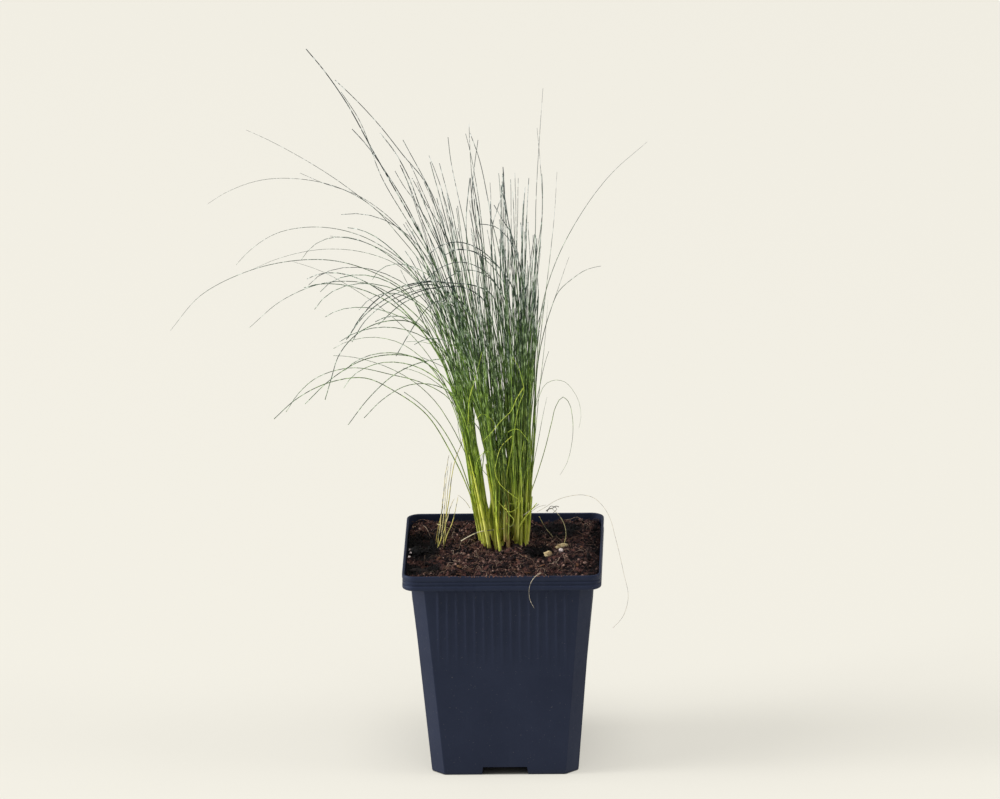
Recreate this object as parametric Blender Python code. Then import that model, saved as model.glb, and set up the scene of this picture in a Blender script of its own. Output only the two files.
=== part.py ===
"""Mexican feather grass in a square plastic nursery pot, in metres, with +Z up.

The origin is the middle of the pot's underside. The front of the pot faces -Y.
The clump is made of bunches of tillers. Each bunch keeps to its own sector of the
clump, so no two bunches cross, and it stands in the crown hole in the soil.
"""

import math
import random
from collections import namedtuple

import bmesh
import bpy
from mathutils import Matrix, Vector, noise

GAP = 0.0003

# Pot
POT_HEIGHT = 0.099
RIM_WIDTH = 0.090
BODY_TOP_WIDTH = 0.082
BODY_BOTTOM_WIDTH = 0.0665
WALL = 0.0011
FLOOR = 0.0014
BODY_CUT = 0.0058
COLLAR_HEIGHT = 0.0070
COLLAR_ROUND = 0.0062
COLLAR_STEP = 0.0004
NOTCH_WIDTH = 0.0222
NOTCH_TOP_WIDTH = 0.0200
NOTCH_HEIGHT = 0.0038
POCKET_DEPTH = 0.0120
POCKET_INSET = 0.0004
SLOT_PLACE = 0.58
SLOT_SIZE = (0.0120, 0.0032)
DRAIN_RADIUS = 0.0026
DRAIN_PLACE = 0.0190
RIB_COUNT = 15
RIB_PITCH = 0.0041
RIB_WIDTH = 0.0017
RIB_LENGTH = 0.040
RIB_HEIGHT = 0.00035
RIB_TOP_GAP = 0.0006
RIB_FLARE = 1.2

# Soil
SOIL_DROP = 0.0034
SOIL_LEFT_EDGE = -0.0415
SOIL_SIDE_POINTS = 12
SOIL_RINGS = 11
SOIL_LUMP = 0.0022
SOIL_LUMP_SIZE = 0.0105
CROWN_DEPTH = 0.0115
SHELF_COVER = 0.0008
SHELF_STARTS = 0.93

# Clump
CLUMP = Vector((0.0, 0.010))
CLUMP_RADIUS = 0.0122
SECTORS_MEET = Vector((0.0045, 0.010))
SHEATH_RADIUS = 0.00110
SHEATH_TOP_RADIUS = 0.00080
BLADE_RADIUS = 0.00047
BLADE_TIP_RADIUS = 0.00040
ROOT_SINK = 0.0020
# Lean of a tiller at the clump's middle, what it gains out to the edge, and what the comb to -X adds there
TILLER_LEAN = (1.5, 4.0, 5.0)
SEED = 7

# A seedling tuft that stands on its own at the left of the clump
TUFT = Vector((-0.0290, 0.0080))
TUFT_RADIUS = 0.0040
TUFT_DEPTH = 0.007

# Hollows in the soil: middle, half sizes along X and Y, and depth
Hollow = namedtuple("Hollow", "x y half_x half_y depth")
HOLLOWS = (
    Hollow(-0.0360, 0.0170, 0.0050, 0.0150, 0.0130),
    Hollow(-0.0370, -0.0190, 0.0060, 0.0085, 0.0110),
    Hollow(0.0155, -0.0040, 0.0048, 0.0052, 0.0065),
    Hollow(0.0230, 0.0300, 0.0110, 0.0080, 0.0040),
)
# Heaps on the soil, the same way
HEAPS = (
    Hollow(0.0000, 0.0060, 0.0260, 0.0240, 0.0024),
    Hollow(0.0330, -0.0100, 0.0140, 0.0300, 0.0018),
    Hollow(-0.0385, -0.0040, 0.0060, 0.0050, 0.0020),
)

# Pieces lying on the soil: name, middle, half sizes, turn about Z, tilt and colour
Clod = namedtuple("Clod", "name x y half_sizes turn tilt colour")
TAN = (0.62, 0.50, 0.30)
PALE = (0.80, 0.72, 0.66)
CLODS = (
    Clod("clod_round", 0.0203, -0.0062, (0.0021, 0.0018, 0.0016), 20, 0, TAN),
    Clod("clod_long", 0.0262, 0.0018, (0.0034, 0.0013, 0.0012), 35, 8, TAN),
    Clod("perlite_grain", 0.0262, -0.0077, (0.0011, 0.0011, 0.0010), 0, 0, PALE),
)

# A blade's heading is its compass angle from +X towards +Y. Its lean is its angle from upright,
# which grows from lean to tip_lean along its length, late if bend is high.
Blade = namedtuple("Blade", "heading turn lean tip_lean bend length rise")
# A kind of blade in a bunch: how many a tiller has, and the ranges that its blades are drawn from
Kind = namedtuple("Kind", "count lean tip_lean bend length")
Bunch = namedtuple("Bunch", "name sector tillers sheath kinds extra colour")

GREEN = (0.12, 0.26, 0.07)
LIME = (0.36, 0.48, 0.09)
STRAW = (0.44, 0.33, 0.14)


def straight(count, low, high):
    return Kind(count, (0, 4), (1, 10), (1.0, 1.6), (low, high))


def leaning(count, low, high):
    return Kind(count, (1, 6), (10, 34), (1.2, 2.2), (low, high))


def arching(count, low, high):
    return Kind(count, (1, 6), (100, 150), (2.0, 3.6), (low, high))


# Blades that stand out against the background, as heading, turn, lean, tip lean, bend and length
TALL_SPRAY = (
    (157, 0, 6, 43, 1.3, 0.249),
    (151, 3, 6, 52, 1.6, 0.232),
    (154, 0, 6, 38, 1.3, 0.236),
    (146, 6, 4, 46, 1.6, 0.208),
    (148, 5, 5, 38, 1.4, 0.218),
    (141, 8, 3, 36, 1.5, 0.196),
)
LONG_ARCHES = (
    (168, 4, 1, 72, 1.4, 0.230),
    (172, 0, 1, 118, 2.0, 0.248),
    (178, 0, 1, 136, 2.4, 0.226),
    (185, 0, 2, 136, 1.8, 0.240),
    (190, 0, 3, 146, 2.4, 0.206),
)
LOW_ARCHES = (
    (215, -4, 3, 158, 2.9, 0.176),
    (210, -4, 11, 126, 1.8, 0.155),
    (225, 0, 2, 150, 3.0, 0.146),
    (206, 0, 6, 142, 1.9, 0.177),
    (207, 0, 3, 150, 4.0, 0.178),
    (212, 0, 4, 156, 3.8, 0.172),
    (219, 0, 3, 140, 4.0, 0.170),
)
RIGHT_SPRAY = (
    (375, 0, 1, 54, 2.0, 0.198),
    (365, 0, 1, 78, 3.8, 0.142),
    (380, 0, 2, 22, 1.5, 0.135),
    (338, 0, 1, 210, 5.0, 0.102),
    (346, 0, 7, 200, 4.0, 0.100),
)
RIGHT_TOPS = (
    (60, 0, 1, 3, 1.0, 0.219),
    (45, 0, 3, 8, 1.0, 0.182),
)
BACK_TOPS = (
    (96, 0, 1, 3, 1.0, 0.182),
)
# Stems of the tuft, with the offsets of their feet along X and Y first
TUFT_STEMS = (
    (-0.0018, -0.0016, 5, 0, 6, 9, 1.0, 0.050),
    (0.0012, 0.0012, 350, 0, 3, 8, 1.0, 0.046),
    (-0.0008, 0.0022, 20, 0, 9, 4, 1.0, 0.043),
    (0.0016, -0.0012, 300, 0, 4, 40, 1.6, 0.034),
)
LEFT_TOPS = (
    (112, 0, 2, 6, 1.0, 0.203),
    (124, 0, 3, 10, 1.0, 0.198),
)

BUNCHES = (
    Bunch("tillers_left", (162, 199), 4, (0.022, 0.034),
          (leaning(5, 0.095, 0.150), arching(2, 0.120, 0.180)), LONG_ARCHES, LIME),
    Bunch("tillers_front_left", (199, 230), 3, (0.022, 0.036),
          (leaning(5, 0.085, 0.140), arching(2, 0.120, 0.165)), LOW_ARCHES, LIME),
    Bunch("tillers_front", (230, 248), 1, (0.026, 0.030),
          (leaning(6, 0.085, 0.140), straight(5, 0.090, 0.145)), (), LIME),
    Bunch("dry_tillers", (248, 266), 1, (0.020, 0.024),
          (leaning(2, 0.060, 0.110), straight(3, 0.080, 0.130)), (), STRAW),
    Bunch("tillers_front_right", (266, 306), 3, (0.020, 0.034),
          (straight(8, 0.090, 0.145),), (), GREEN),
    Bunch("tillers_right", (306, 388), 5, (0.020, 0.034),
          (straight(7, 0.090, 0.150),), RIGHT_SPRAY, GREEN),
    Bunch("tillers_back_right", (28, 72), 3, (0.020, 0.034),
          (straight(8, 0.100, 0.165),), RIGHT_TOPS, GREEN),
    Bunch("tillers_back", (72, 106), 3, (0.020, 0.034),
          (straight(6, 0.100, 0.165), leaning(2, 0.110, 0.150)), BACK_TOPS, GREEN),
    Bunch("tillers_back_left", (106, 134), 3, (0.022, 0.034),
          (leaning(5, 0.110, 0.165), straight(3, 0.110, 0.175)), LEFT_TOPS, GREEN),
    Bunch("tillers_tall", (134, 162), 3, (0.022, 0.034),
          (leaning(7, 0.110, 0.175), arching(1, 0.140, 0.190)), TALL_SPRAY, GREEN),
)


def clear_scene():
    for obj in list(bpy.data.objects):
        bpy.data.objects.remove(obj)


def new_collection(name):
    collection = bpy.data.collections.new(name)
    bpy.context.scene.collection.children.link(collection)
    return collection


def material(name, colour, roughness):
    made = bpy.data.materials.new(name)
    made.use_nodes = True
    shader = made.node_tree.nodes["Principled BSDF"]
    shader.inputs["Base Color"].default_value = (*colour, 1)
    shader.inputs["Roughness"].default_value = roughness
    return made


def mesh_object(name, mesh, collection):
    obj = bpy.data.objects.new(name, mesh)
    collection.objects.link(obj)
    return obj


def boolean(obj, operation, collection, solver="EXACT"):
    """Joins or cuts obj with every object of a collection, then removes those objects."""
    modifier = obj.modifiers.new(operation.lower(), "BOOLEAN")
    modifier.operation = operation
    modifier.operand_type = "COLLECTION"
    modifier.collection = collection
    modifier.solver = solver
    graph = bpy.context.evaluated_depsgraph_get()
    mesh = bpy.data.meshes.new_from_object(obj.evaluated_get(graph))
    obj.modifiers.clear()
    obj.data = mesh
    for used in list(collection.objects):
        bpy.data.objects.remove(used)
    bpy.data.collections.remove(collection)


def keep_outer_skin(mesh):
    """Fills hollows that fusing has sealed, and drops loose scraps: only the largest skin stays."""
    shape = bmesh.new()
    shape.from_mesh(mesh)
    left = set(shape.verts)
    skins = []
    while left:
        skin = {left.pop()}
        edge_of_skin = list(skin)
        while edge_of_skin:
            vertex = edge_of_skin.pop()
            for edge in vertex.link_edges:
                other = edge.other_vert(vertex)
                if other in left:
                    left.remove(other)
                    skin.add(other)
                    edge_of_skin.append(other)
        skins.append(skin)
    largest = max(skins, key=len)
    spare = [vertex for skin in skins if skin is not largest for vertex in skin]
    bmesh.ops.delete(shape, geom=spare, context="VERTS")
    shape.to_mesh(mesh)
    shape.free()


def box(name, low, high, collection, top_width=None):
    """A block between two corners. top_width narrows its top along X."""
    shape = bmesh.new()
    bmesh.ops.create_cube(shape, size=1)
    low, high = Vector(low), Vector(high)
    for vertex in shape.verts:
        vertex.co = Vector((low[i] + (high[i] - low[i]) * (vertex.co[i] + 0.5) for i in range(3)))
        if top_width and vertex.co.z > (low.z + high.z) / 2:
            vertex.co.x *= top_width / (high.x - low.x)
    mesh = bpy.data.meshes.new(name)
    shape.to_mesh(mesh)
    shape.free()
    return mesh_object(name, mesh, collection)


def rod(name, radius, length, middle, sides, collection):
    """An upright round bar about a middle point."""
    shape = bmesh.new()
    bmesh.ops.create_cone(shape, cap_ends=True, segments=sides, radius1=radius, radius2=radius, depth=length)
    bmesh.ops.translate(shape, verts=shape.verts, vec=middle)
    mesh = bpy.data.meshes.new(name)
    shape.to_mesh(mesh)
    shape.free()
    return mesh_object(name, mesh, collection)


def section(half, cut, bulge, side_points=0, corner_steps=3):
    """A square outline whose corners are cut flat at bulge 0 and rounded at bulge 1."""
    points = []
    for quarter in range(4):
        turn = math.radians(90 * quarter)
        corner = []
        for step in range(corner_steps + 1):
            share = step / corner_steps
            angle = share * math.pi / 2
            flat = Vector((cut * (1 - share), cut * share))
            arc = Vector((cut * math.cos(angle), cut * math.sin(angle)))
            corner.append(Vector((half - cut, half - cut)) + flat.lerp(arc, bulge))
        last = corner[-1]
        for step in range(side_points):
            share = (step + 1) / (side_points + 1)
            corner.append(Vector((last.x - 2 * (half - cut) * share, half)))
        points += [Vector((p.x * math.cos(turn) - p.y * math.sin(turn),
                           p.x * math.sin(turn) + p.y * math.cos(turn))) for p in corner]
    return points


def loft(name, rings, collection):
    """A closed solid through rings of equal point counts, with its first and last ring capped."""
    shape = bmesh.new()
    rows = [[shape.verts.new(point) for point in ring] for ring in rings]
    for low, high in zip(rows, rows[1:]):
        for i, vertex in enumerate(low):
            before = i - 1
            shape.faces.new((low[before], vertex, high[i], high[before]))
    shape.faces.new(list(reversed(rows[0])))
    shape.faces.new(rows[-1])
    bmesh.ops.recalc_face_normals(shape, faces=shape.faces)
    mesh = bpy.data.meshes.new(name)
    shape.to_mesh(mesh)
    shape.free()
    return mesh_object(name, mesh, collection)


def body_half(z):
    """Half the pot's outer width at a height below the collar."""
    share = z / (POT_HEIGHT - COLLAR_HEIGHT)
    return (BODY_BOTTOM_WIDTH + (BODY_TOP_WIDTH - BODY_BOTTOM_WIDTH) * share) / 2


def at_height(outline, z):
    return [Vector((p.x, p.y, z)) for p in outline]


def side_turn(obj, quarter):
    obj.rotation_euler.z = math.radians(90 * quarter)


def pot_shell(collection):
    """The wall, collar, rim and floor as one skin, from the outside foot over the rim to the floor."""
    top = POT_HEIGHT
    collar = top - COLLAR_HEIGHT
    rim = RIM_WIDTH / 2
    shelf = collar + WALL
    profile = (
        (0, body_half(0), BODY_CUT, 0),
        (collar, body_half(collar), BODY_CUT, 0),
        (collar, rim - COLLAR_STEP, COLLAR_ROUND, 1),
        (collar + 0.0005, rim, COLLAR_ROUND, 1),
        (collar + 0.0024, rim, COLLAR_ROUND, 1),
        (collar + 0.0027, rim - COLLAR_STEP, COLLAR_ROUND, 1),
        (top - 0.0026, rim - COLLAR_STEP, COLLAR_ROUND, 1),
        (top - 0.0023, rim, COLLAR_ROUND, 1),
        (top - 0.0004, rim, COLLAR_ROUND, 1),
        (top, rim - 0.0004, COLLAR_ROUND, 1),
        (top, rim - WALL - 0.0001, COLLAR_ROUND - WALL, 1),
        (shelf, rim - WALL - 0.0002, COLLAR_ROUND - WALL, 1),
        (shelf, body_half(collar) - WALL, BODY_CUT - WALL / 2, 0),
        (FLOOR, body_half(FLOOR) - WALL, BODY_CUT - WALL / 2, 0),
    )
    rings = [at_height(section(half, cut, bulge), z) for z, half, cut, bulge in profile]
    return loft("pot", rings, collection)


def pocket_block(quarter, collection, grow=0.0, name="pocket"):
    """The raised roof over a drainage notch, on one side of the pot's floor."""
    foot = body_half(0)
    half_width = NOTCH_WIDTH / 2 + WALL + grow
    inner = -foot + POCKET_DEPTH + WALL + grow
    outer = -foot if grow else -foot + POCKET_INSET
    bottom = FLOOR / 2
    top = NOTCH_HEIGHT + WALL + grow
    block = box(name, (-half_width, outer, bottom), (half_width, inner, top), collection)
    side_turn(block, quarter)


def rib(quarter, index, collection):
    """A faint upright rib below the collar. It stands out at its top and sinks into the wall lower down."""
    lean = math.atan((body_half(POT_HEIGHT - COLLAR_HEIGHT) - body_half(0)) / (POT_HEIGHT - COLLAR_HEIGHT))
    depth = 2 * RIB_HEIGHT
    block = box("rib", (-RIB_WIDTH / 2, -depth / 2, -RIB_LENGTH / 2),
                (RIB_WIDTH / 2, depth / 2, RIB_LENGTH / 2), collection, top_width=RIB_WIDTH * RIB_FLARE)
    middle = POT_HEIGHT - COLLAR_HEIGHT - RIB_LENGTH / 2 - RIB_TOP_GAP
    across = (index - (RIB_COUNT - 1) / 2) * RIB_PITCH
    fade = math.atan(RIB_HEIGHT / RIB_LENGTH)
    out = Vector((across, -body_half(middle) + RIB_HEIGHT * 0.4, middle))
    turn = math.radians(90 * quarter)
    block.rotation_euler = (lean + fade, 0, turn)
    block.location = (out.x * math.cos(turn) - out.y * math.sin(turn),
                      out.x * math.sin(turn) + out.y * math.cos(turn), out.z)


def make_pot(collection):
    pot = pot_shell(collection)
    added = new_collection("pot_added")
    cutters = new_collection("pot_cutters")
    foot = body_half(0)
    for quarter in range(4):
        pocket_block(quarter, added)
        for index in range(RIB_COUNT):
            rib(quarter, index, added)
        notch = box("notch", (-NOTCH_WIDTH / 2, -foot - 0.003, -NOTCH_HEIGHT),
                    (NOTCH_WIDTH / 2, -foot + POCKET_DEPTH, NOTCH_HEIGHT), cutters, NOTCH_TOP_WIDTH)
        side_turn(notch, quarter)
        slot_middle = -foot + POCKET_DEPTH * SLOT_PLACE
        slot = box("slot", (-SLOT_SIZE[0] / 2, slot_middle - SLOT_SIZE[1] / 2, NOTCH_HEIGHT - 0.001),
                   (SLOT_SIZE[0] / 2, slot_middle + SLOT_SIZE[1] / 2, NOTCH_HEIGHT + WALL + 0.001), cutters)
        side_turn(slot, quarter)
        corner = math.radians(45 + 90 * quarter)
        reach = DRAIN_PLACE * math.sqrt(2)
        place = (reach * math.cos(corner), reach * math.sin(corner), 0)
        rod("drain", DRAIN_RADIUS, 2 * FLOOR, place, 12, cutters)
    boolean(pot, "UNION", added)
    boolean(pot, "DIFFERENCE", cutters)
    pot.data.materials.clear()
    pot.data.materials.append(material("pot_plastic", (0.030, 0.035, 0.052), 0.45))
    return pot


def falloff(x, y, spot):
    """1 at the middle of a hollow or heap, 0 at its edge and beyond."""
    distance = math.hypot((x - spot.x) / spot.half_x, (y - spot.y) / spot.half_y)
    return 0.5 + 0.5 * math.cos(math.pi * min(distance, 1))


def soil_height(x, y):
    """Height of the soil's lumpy top."""
    lump = noise.fractal(Vector((x, y, 0)) / SOIL_LUMP_SIZE, 0.7, 2.2, 3)
    z = POT_HEIGHT - SOIL_DROP + SOIL_LUMP * lump
    z += sum(heap.depth * falloff(x, y, heap) for heap in HEAPS)
    z -= sum(hollow.depth * falloff(x, y, hollow) for hollow in HOLLOWS)
    shelf = POT_HEIGHT - COLLAR_HEIGHT + WALL
    edge = max(abs(x), abs(y)) / (body_half(POT_HEIGHT - COLLAR_HEIGHT) - WALL)
    if edge > SHELF_STARTS:
        z = max(z, shelf + SHELF_COVER)
    return min(z, POT_HEIGHT - SHELF_COVER)


def seat_height(clod):
    """Height of the flat seat pressed into the soil under a clod."""
    reach = max(clod.half_sizes)
    around = [(clod.x + reach * i, clod.y + reach * j) for i in (-1, 0, 1) for j in (-1, 0, 1)]
    return sum(soil_height(x, y) for x, y in around) / len(around) - 0.0004


def make_soil(collection):
    collar = POT_HEIGHT - COLLAR_HEIGHT
    shelf = collar + WALL
    inner = WALL + GAP

    def outline(half, cut, bulge=0.0):
        return section(half, cut, bulge, SOIL_SIDE_POINTS)

    rings = [at_height(outline(body_half(FLOOR) - inner, BODY_CUT - WALL / 2), FLOOR + GAP),
             at_height(outline(body_half(collar) - inner, BODY_CUT - WALL / 2), shelf + GAP)]
    edge = outline(RIM_WIDTH / 2 - WALL - 2 * GAP - 0.0002, COLLAR_ROUND - WALL, 1)
    edge = [Vector((max(p.x, SOIL_LEFT_EDGE), p.y)) for p in edge]
    rings.append(at_height(edge, shelf + GAP))
    middle = Vector((0.002, -0.001))
    for step in range(SOIL_RINGS):
        share = 1 - step / SOIL_RINGS
        row = [middle.lerp(p, share) for p in edge]
        rings.append([Vector((p.x, p.y, soil_height(p.x, p.y))) for p in row])
    soil = loft("soil", rings, collection)
    cutters = new_collection("soil_cutters")
    for quarter in range(4):
        pocket_block(quarter, cutters, GAP, "pocket_room")
    rod("crown_hole", CLUMP_RADIUS + GAP, 4 * CROWN_DEPTH,
        (CLUMP.x, CLUMP.y, crown_bottom() - GAP + 2 * CROWN_DEPTH), 20, cutters)
    rod("tuft_hole", TUFT_RADIUS + GAP, 4 * TUFT_DEPTH,
        (TUFT.x, TUFT.y, crown_top() - TUFT_DEPTH - GAP + 2 * TUFT_DEPTH), 12, cutters)
    for clod in CLODS:
        bottom = seat_height(clod)
        rod("seat", max(clod.half_sizes) + 0.0006, 0.008, (clod.x, clod.y, bottom + 0.004), 10, cutters)
    boolean(soil, "DIFFERENCE", cutters)
    soil.data.materials.append(material("potting_soil", (0.045, 0.026, 0.018), 0.95))
    return soil


def crown_top():
    return POT_HEIGHT - SOIL_DROP + 0.0004


def crown_bottom():
    return POT_HEIGHT - SOIL_DROP - CROWN_DEPTH


def heading_vector(degrees):
    return Vector((math.cos(math.radians(degrees)), math.sin(math.radians(degrees))))


def reach_to_edge(start, degrees, radius):
    """Distance from a point in the clump to a circle round the clump's middle, along a heading."""
    along = heading_vector(degrees)
    offset = start - CLUMP
    half = offset.dot(along)
    return -half + math.sqrt(half * half - offset.length_squared + radius * radius)


def crown_object(bunch, collection):
    """The bunch's share of the root crown: an upright wedge that stands in the crown hole."""
    low, high = bunch.sector
    half_angle = math.radians(high - low) / 2
    tip = SECTORS_MEET + heading_vector((low + high) / 2) * (GAP / math.sin(half_angle))
    steps = max(2, round((high - low) / 14))
    outline = [tip]
    for step in range(steps + 1):
        heading = low + (high - low) * step / steps
        reach = reach_to_edge(tip, heading, CLUMP_RADIUS - GAP)
        outline.append(tip + heading_vector(heading) * reach)
    curve = bpy.data.curves.new(bunch.name, "CURVE")
    curve.dimensions = "2D"
    curve.fill_mode = "BOTH"
    curve.extrude = (crown_top() - crown_bottom()) / 2
    spline = curve.splines.new("POLY")
    spline.points.add(len(outline) - 1)
    for point, place in zip(spline.points, outline):
        point.co = (place.x, place.y, 0, 1)
    spline.use_cyclic_u = True
    obj = as_mesh(curve, bunch.name, collection)
    obj.data.transform(Matrix.Translation((0, 0, (crown_top() + crown_bottom()) / 2)))
    return obj


def as_mesh(curve, name, collection):
    """A curve turned into a mesh object, with its caps welded to its sides."""
    guide = bpy.data.objects.new(name + "_curve", curve)
    bpy.context.scene.collection.objects.link(guide)
    graph = bpy.context.evaluated_depsgraph_get()
    mesh = bpy.data.meshes.new_from_object(guide.evaluated_get(graph))
    shape = bmesh.new()
    shape.from_mesh(mesh)
    bmesh.ops.remove_doubles(shape, verts=shape.verts, dist=1e-6)
    bmesh.ops.recalc_face_normals(shape, faces=shape.faces)
    shape.to_mesh(mesh)
    shape.free()
    bpy.data.objects.remove(guide)
    bpy.data.curves.remove(curve)
    return mesh_object(name, mesh, collection)


def strand(name, path, radii, profile, collection):
    """A tapering stem or blade along a path, with the profile curve as its section."""
    curve = bpy.data.curves.new(name, "CURVE")
    curve.dimensions = "3D"
    curve.bevel_mode = "OBJECT"
    curve.bevel_object = profile
    curve.use_fill_caps = True
    spline = curve.splines.new("POLY")
    spline.points.add(len(path) - 1)
    for point, place, radius in zip(spline.points, path, radii):
        point.co = (*place, 1)
        point.radius = radius
    return as_mesh(curve, name, collection)


def ring_profile(name, sides):
    """A unit outline for strands. It is a guide, so renders leave it out."""
    curve = bpy.data.curves.new(name, "CURVE")
    curve.dimensions = "2D"
    curve.fill_mode = "NONE"
    spline = curve.splines.new("POLY")
    spline.points.add(sides - 1)
    for i, point in enumerate(spline.points):
        angle = 2 * math.pi * i / sides
        point.co = (math.cos(angle), math.sin(angle), 0, 1)
    spline.use_cyclic_u = True
    obj = bpy.data.objects.new(name, curve)
    bpy.context.scene.collection.objects.link(obj)
    obj.hide_render = True
    obj.display_type = "WIRE"
    return obj


def blade_path(start, blade, sector, steps):
    """The blade's middle line. Its heading stays inside the sector, so it only moves away from the sides."""
    low, high = sector
    points = [start.copy()]
    here = start.copy()
    fine = 6
    for step in range(steps * fine):
        share = (step + 0.5) / (steps * fine)
        lean = math.radians(blade.lean + (blade.tip_lean - blade.lean) * share ** blade.bend)
        heading = min(max(blade.heading + blade.turn * share, low), high)
        flat = heading_vector(heading)
        part = blade.length / (steps * fine)
        here = here + part * Vector((math.sin(lean) * flat.x, math.sin(lean) * flat.y, math.cos(lean)))
        if (step + 1) % fine == 0:
            points.append(here.copy())
    return points


def blade_steps(blade):
    """More pieces for a blade that bends more."""
    return 2 + round(abs(blade.tip_lean - blade.lean) / 24)


def tillers_of(bunch, draw):
    """Each tiller's foot, heading, lean and sheath length, spread evenly over the bunch's sector."""
    low, high = bunch.sector
    found = []
    for index in range(bunch.tillers):
        share = (0.5 + index * 0.618) % 1
        depth = math.sqrt((index + 0.6) / bunch.tillers)
        heading = low + (high - low) * (0.14 + 0.72 * share)
        far = reach_to_edge(SECTORS_MEET, heading, CLUMP_RADIUS - SHEATH_RADIUS - 2 * GAP)
        side = min(heading - low, high - heading)
        near = min((SHEATH_RADIUS + 2 * GAP) / math.sin(math.radians(min(side, 90))), far)
        distance = near + (far - near) * depth
        foot = SECTORS_MEET + heading_vector(heading) * distance
        combed = max(0, -heading_vector(heading).x)
        lean = TILLER_LEAN[0] + (TILLER_LEAN[1] + TILLER_LEAN[2] * combed) * distance / far
        found.append((foot, heading, lean, draw.uniform(*bunch.sheath)))
    return found


def blades_of(bunch, tiller, draw):
    """The blades that leave one tiller, all round its sheath and at different heights."""
    low, high = bunch.sector
    _, heading, _, sheath = tiller
    kinds = [kind for kind in bunch.kinds for _ in range(kind.count)]
    blades = []
    for index, kind in enumerate(kinds):
        spread = draw.uniform(-1, 1) * (high - low) / 2
        towards = min(max(heading + spread, low), high)
        blades.append(Blade(
            heading=towards,
            turn=draw.uniform(-12, 12),
            lean=draw.uniform(*kind.lean),
            tip_lean=draw.uniform(*kind.tip_lean),
            bend=draw.uniform(*kind.bend),
            length=draw.uniform(*kind.length),
            rise=sheath * (0.25 + 0.6 * index / len(kinds)),
        ))
    return blades


def strands_of(bunch):
    """Every sheath and blade of a bunch, as (kind, path, foot radius, tip radius)."""
    draw = random.Random(f"{SEED} {bunch.name}")
    low, high = bunch.sector
    strands = []
    for tiller in tillers_of(bunch, draw):
        foot, heading, lean, sheath = tiller
        base = Vector((foot.x, foot.y, crown_top() - ROOT_SINK))
        stem = Blade(heading, 0, lean, lean + 2, 1, sheath, 0)
        stem_path = blade_path(base, stem, (low, high), 2)
        strands.append(("sheath", stem_path, SHEATH_RADIUS, SHEATH_TOP_RADIUS))
        for blade in blades_of(bunch, tiller, draw):
            start = base.lerp(stem_path[-1], blade.rise / sheath)
            strands.append(("blade", blade_path(start, blade, (low, high), blade_steps(blade)),
                            BLADE_RADIUS, BLADE_TIP_RADIUS))
    for numbers in bunch.extra:
        blade = Blade(*numbers, 0)
        reach = reach_to_edge(SECTORS_MEET, blade.heading, CLUMP_RADIUS)
        foot = SECTORS_MEET + heading_vector(blade.heading) * reach * draw.uniform(0.55, 0.85)
        start = Vector((foot.x, foot.y, crown_top() - ROOT_SINK))
        strands.append(("blade", blade_path(start, blade, (low, high), blade_steps(blade)),
                        BLADE_RADIUS, BLADE_TIP_RADIUS))
    return strands


def make_bunch(bunch, profiles, collection):
    obj = crown_object(bunch, collection)
    parts = new_collection(bunch.name + "_strands")
    for kind, path, foot_radius, tip_radius in strands_of(bunch):
        last = len(path) - 1
        radii = [foot_radius + (tip_radius - foot_radius) * i / last for i in range(last + 1)]
        strand(kind, path, radii, profiles[kind], parts)
    boolean(obj, "UNION", parts, "MANIFOLD")
    keep_outer_skin(obj.data)
    obj.data.materials.clear()
    obj.data.materials.append(material(bunch.name, bunch.colour, 0.55))
    return obj


def tuft_strands():
    strands = []
    for x, y, *numbers in TUFT_STEMS:
        stem = Blade(*numbers, 0)
        start = Vector((TUFT.x + x, TUFT.y + y, crown_top() - ROOT_SINK))
        path = blade_path(start, stem, (0, 360), blade_steps(stem))
        strands.append(("blade", path, BLADE_RADIUS * 1.3, BLADE_TIP_RADIUS))
    return strands


def make_tuft(profiles, collection):
    middle = crown_top() - TUFT_DEPTH / 2
    obj = rod("side_tuft", TUFT_RADIUS, TUFT_DEPTH, (TUFT.x, TUFT.y, middle), 10, collection)
    parts = new_collection("side_tuft_strands")
    for kind, path, foot_radius, tip_radius in tuft_strands():
        last = len(path) - 1
        radii = [foot_radius + (tip_radius - foot_radius) * i / last for i in range(last + 1)]
        strand(kind, path, radii, profiles[kind], parts)
    boolean(obj, "UNION", parts, "MANIFOLD")
    keep_outer_skin(obj.data)
    obj.data.materials.clear()
    obj.data.materials.append(material("side_tuft", STRAW, 0.6))
    return obj


def make_clod(clod, collection):
    """A rough pebble or root scrap that rests on its seat in the soil."""
    shape = bmesh.new()
    bmesh.ops.create_icosphere(shape, subdivisions=2, radius=1)
    for vertex in shape.verts:
        swell = 1 + 0.16 * noise.noise(vertex.co * 1.7 + Vector((clod.x, clod.y, 0)) * 900)
        vertex.co = Vector(c * h * swell for c, h in zip(vertex.co, clod.half_sizes))
    mesh = bpy.data.meshes.new(clod.name)
    shape.to_mesh(mesh)
    shape.free()
    obj = mesh_object(clod.name, mesh, collection)
    obj.rotation_euler = (0, math.radians(-clod.tilt), math.radians(clod.turn))
    bpy.context.view_layer.update()
    lowest = min((obj.matrix_world @ v.co).z for v in mesh.vertices)
    obj.location = (clod.x, clod.y, seat_height(clod) + GAP - lowest)
    obj.data.materials.append(material(clod.name, clod.colour, 0.85))
    return obj


def main():
    clear_scene()
    plant = new_collection("mexican_feather_grass")
    make_pot(plant)
    make_soil(plant)
    profiles = {"sheath": ring_profile("sheath_section", 5), "blade": ring_profile("blade_section", 3)}
    for bunch in BUNCHES:
        make_bunch(bunch, profiles, plant)
    make_tuft(profiles, plant)
    for clod in CLODS:
        make_clod(clod, plant)


if __name__ == "__main__":
    main()
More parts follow.
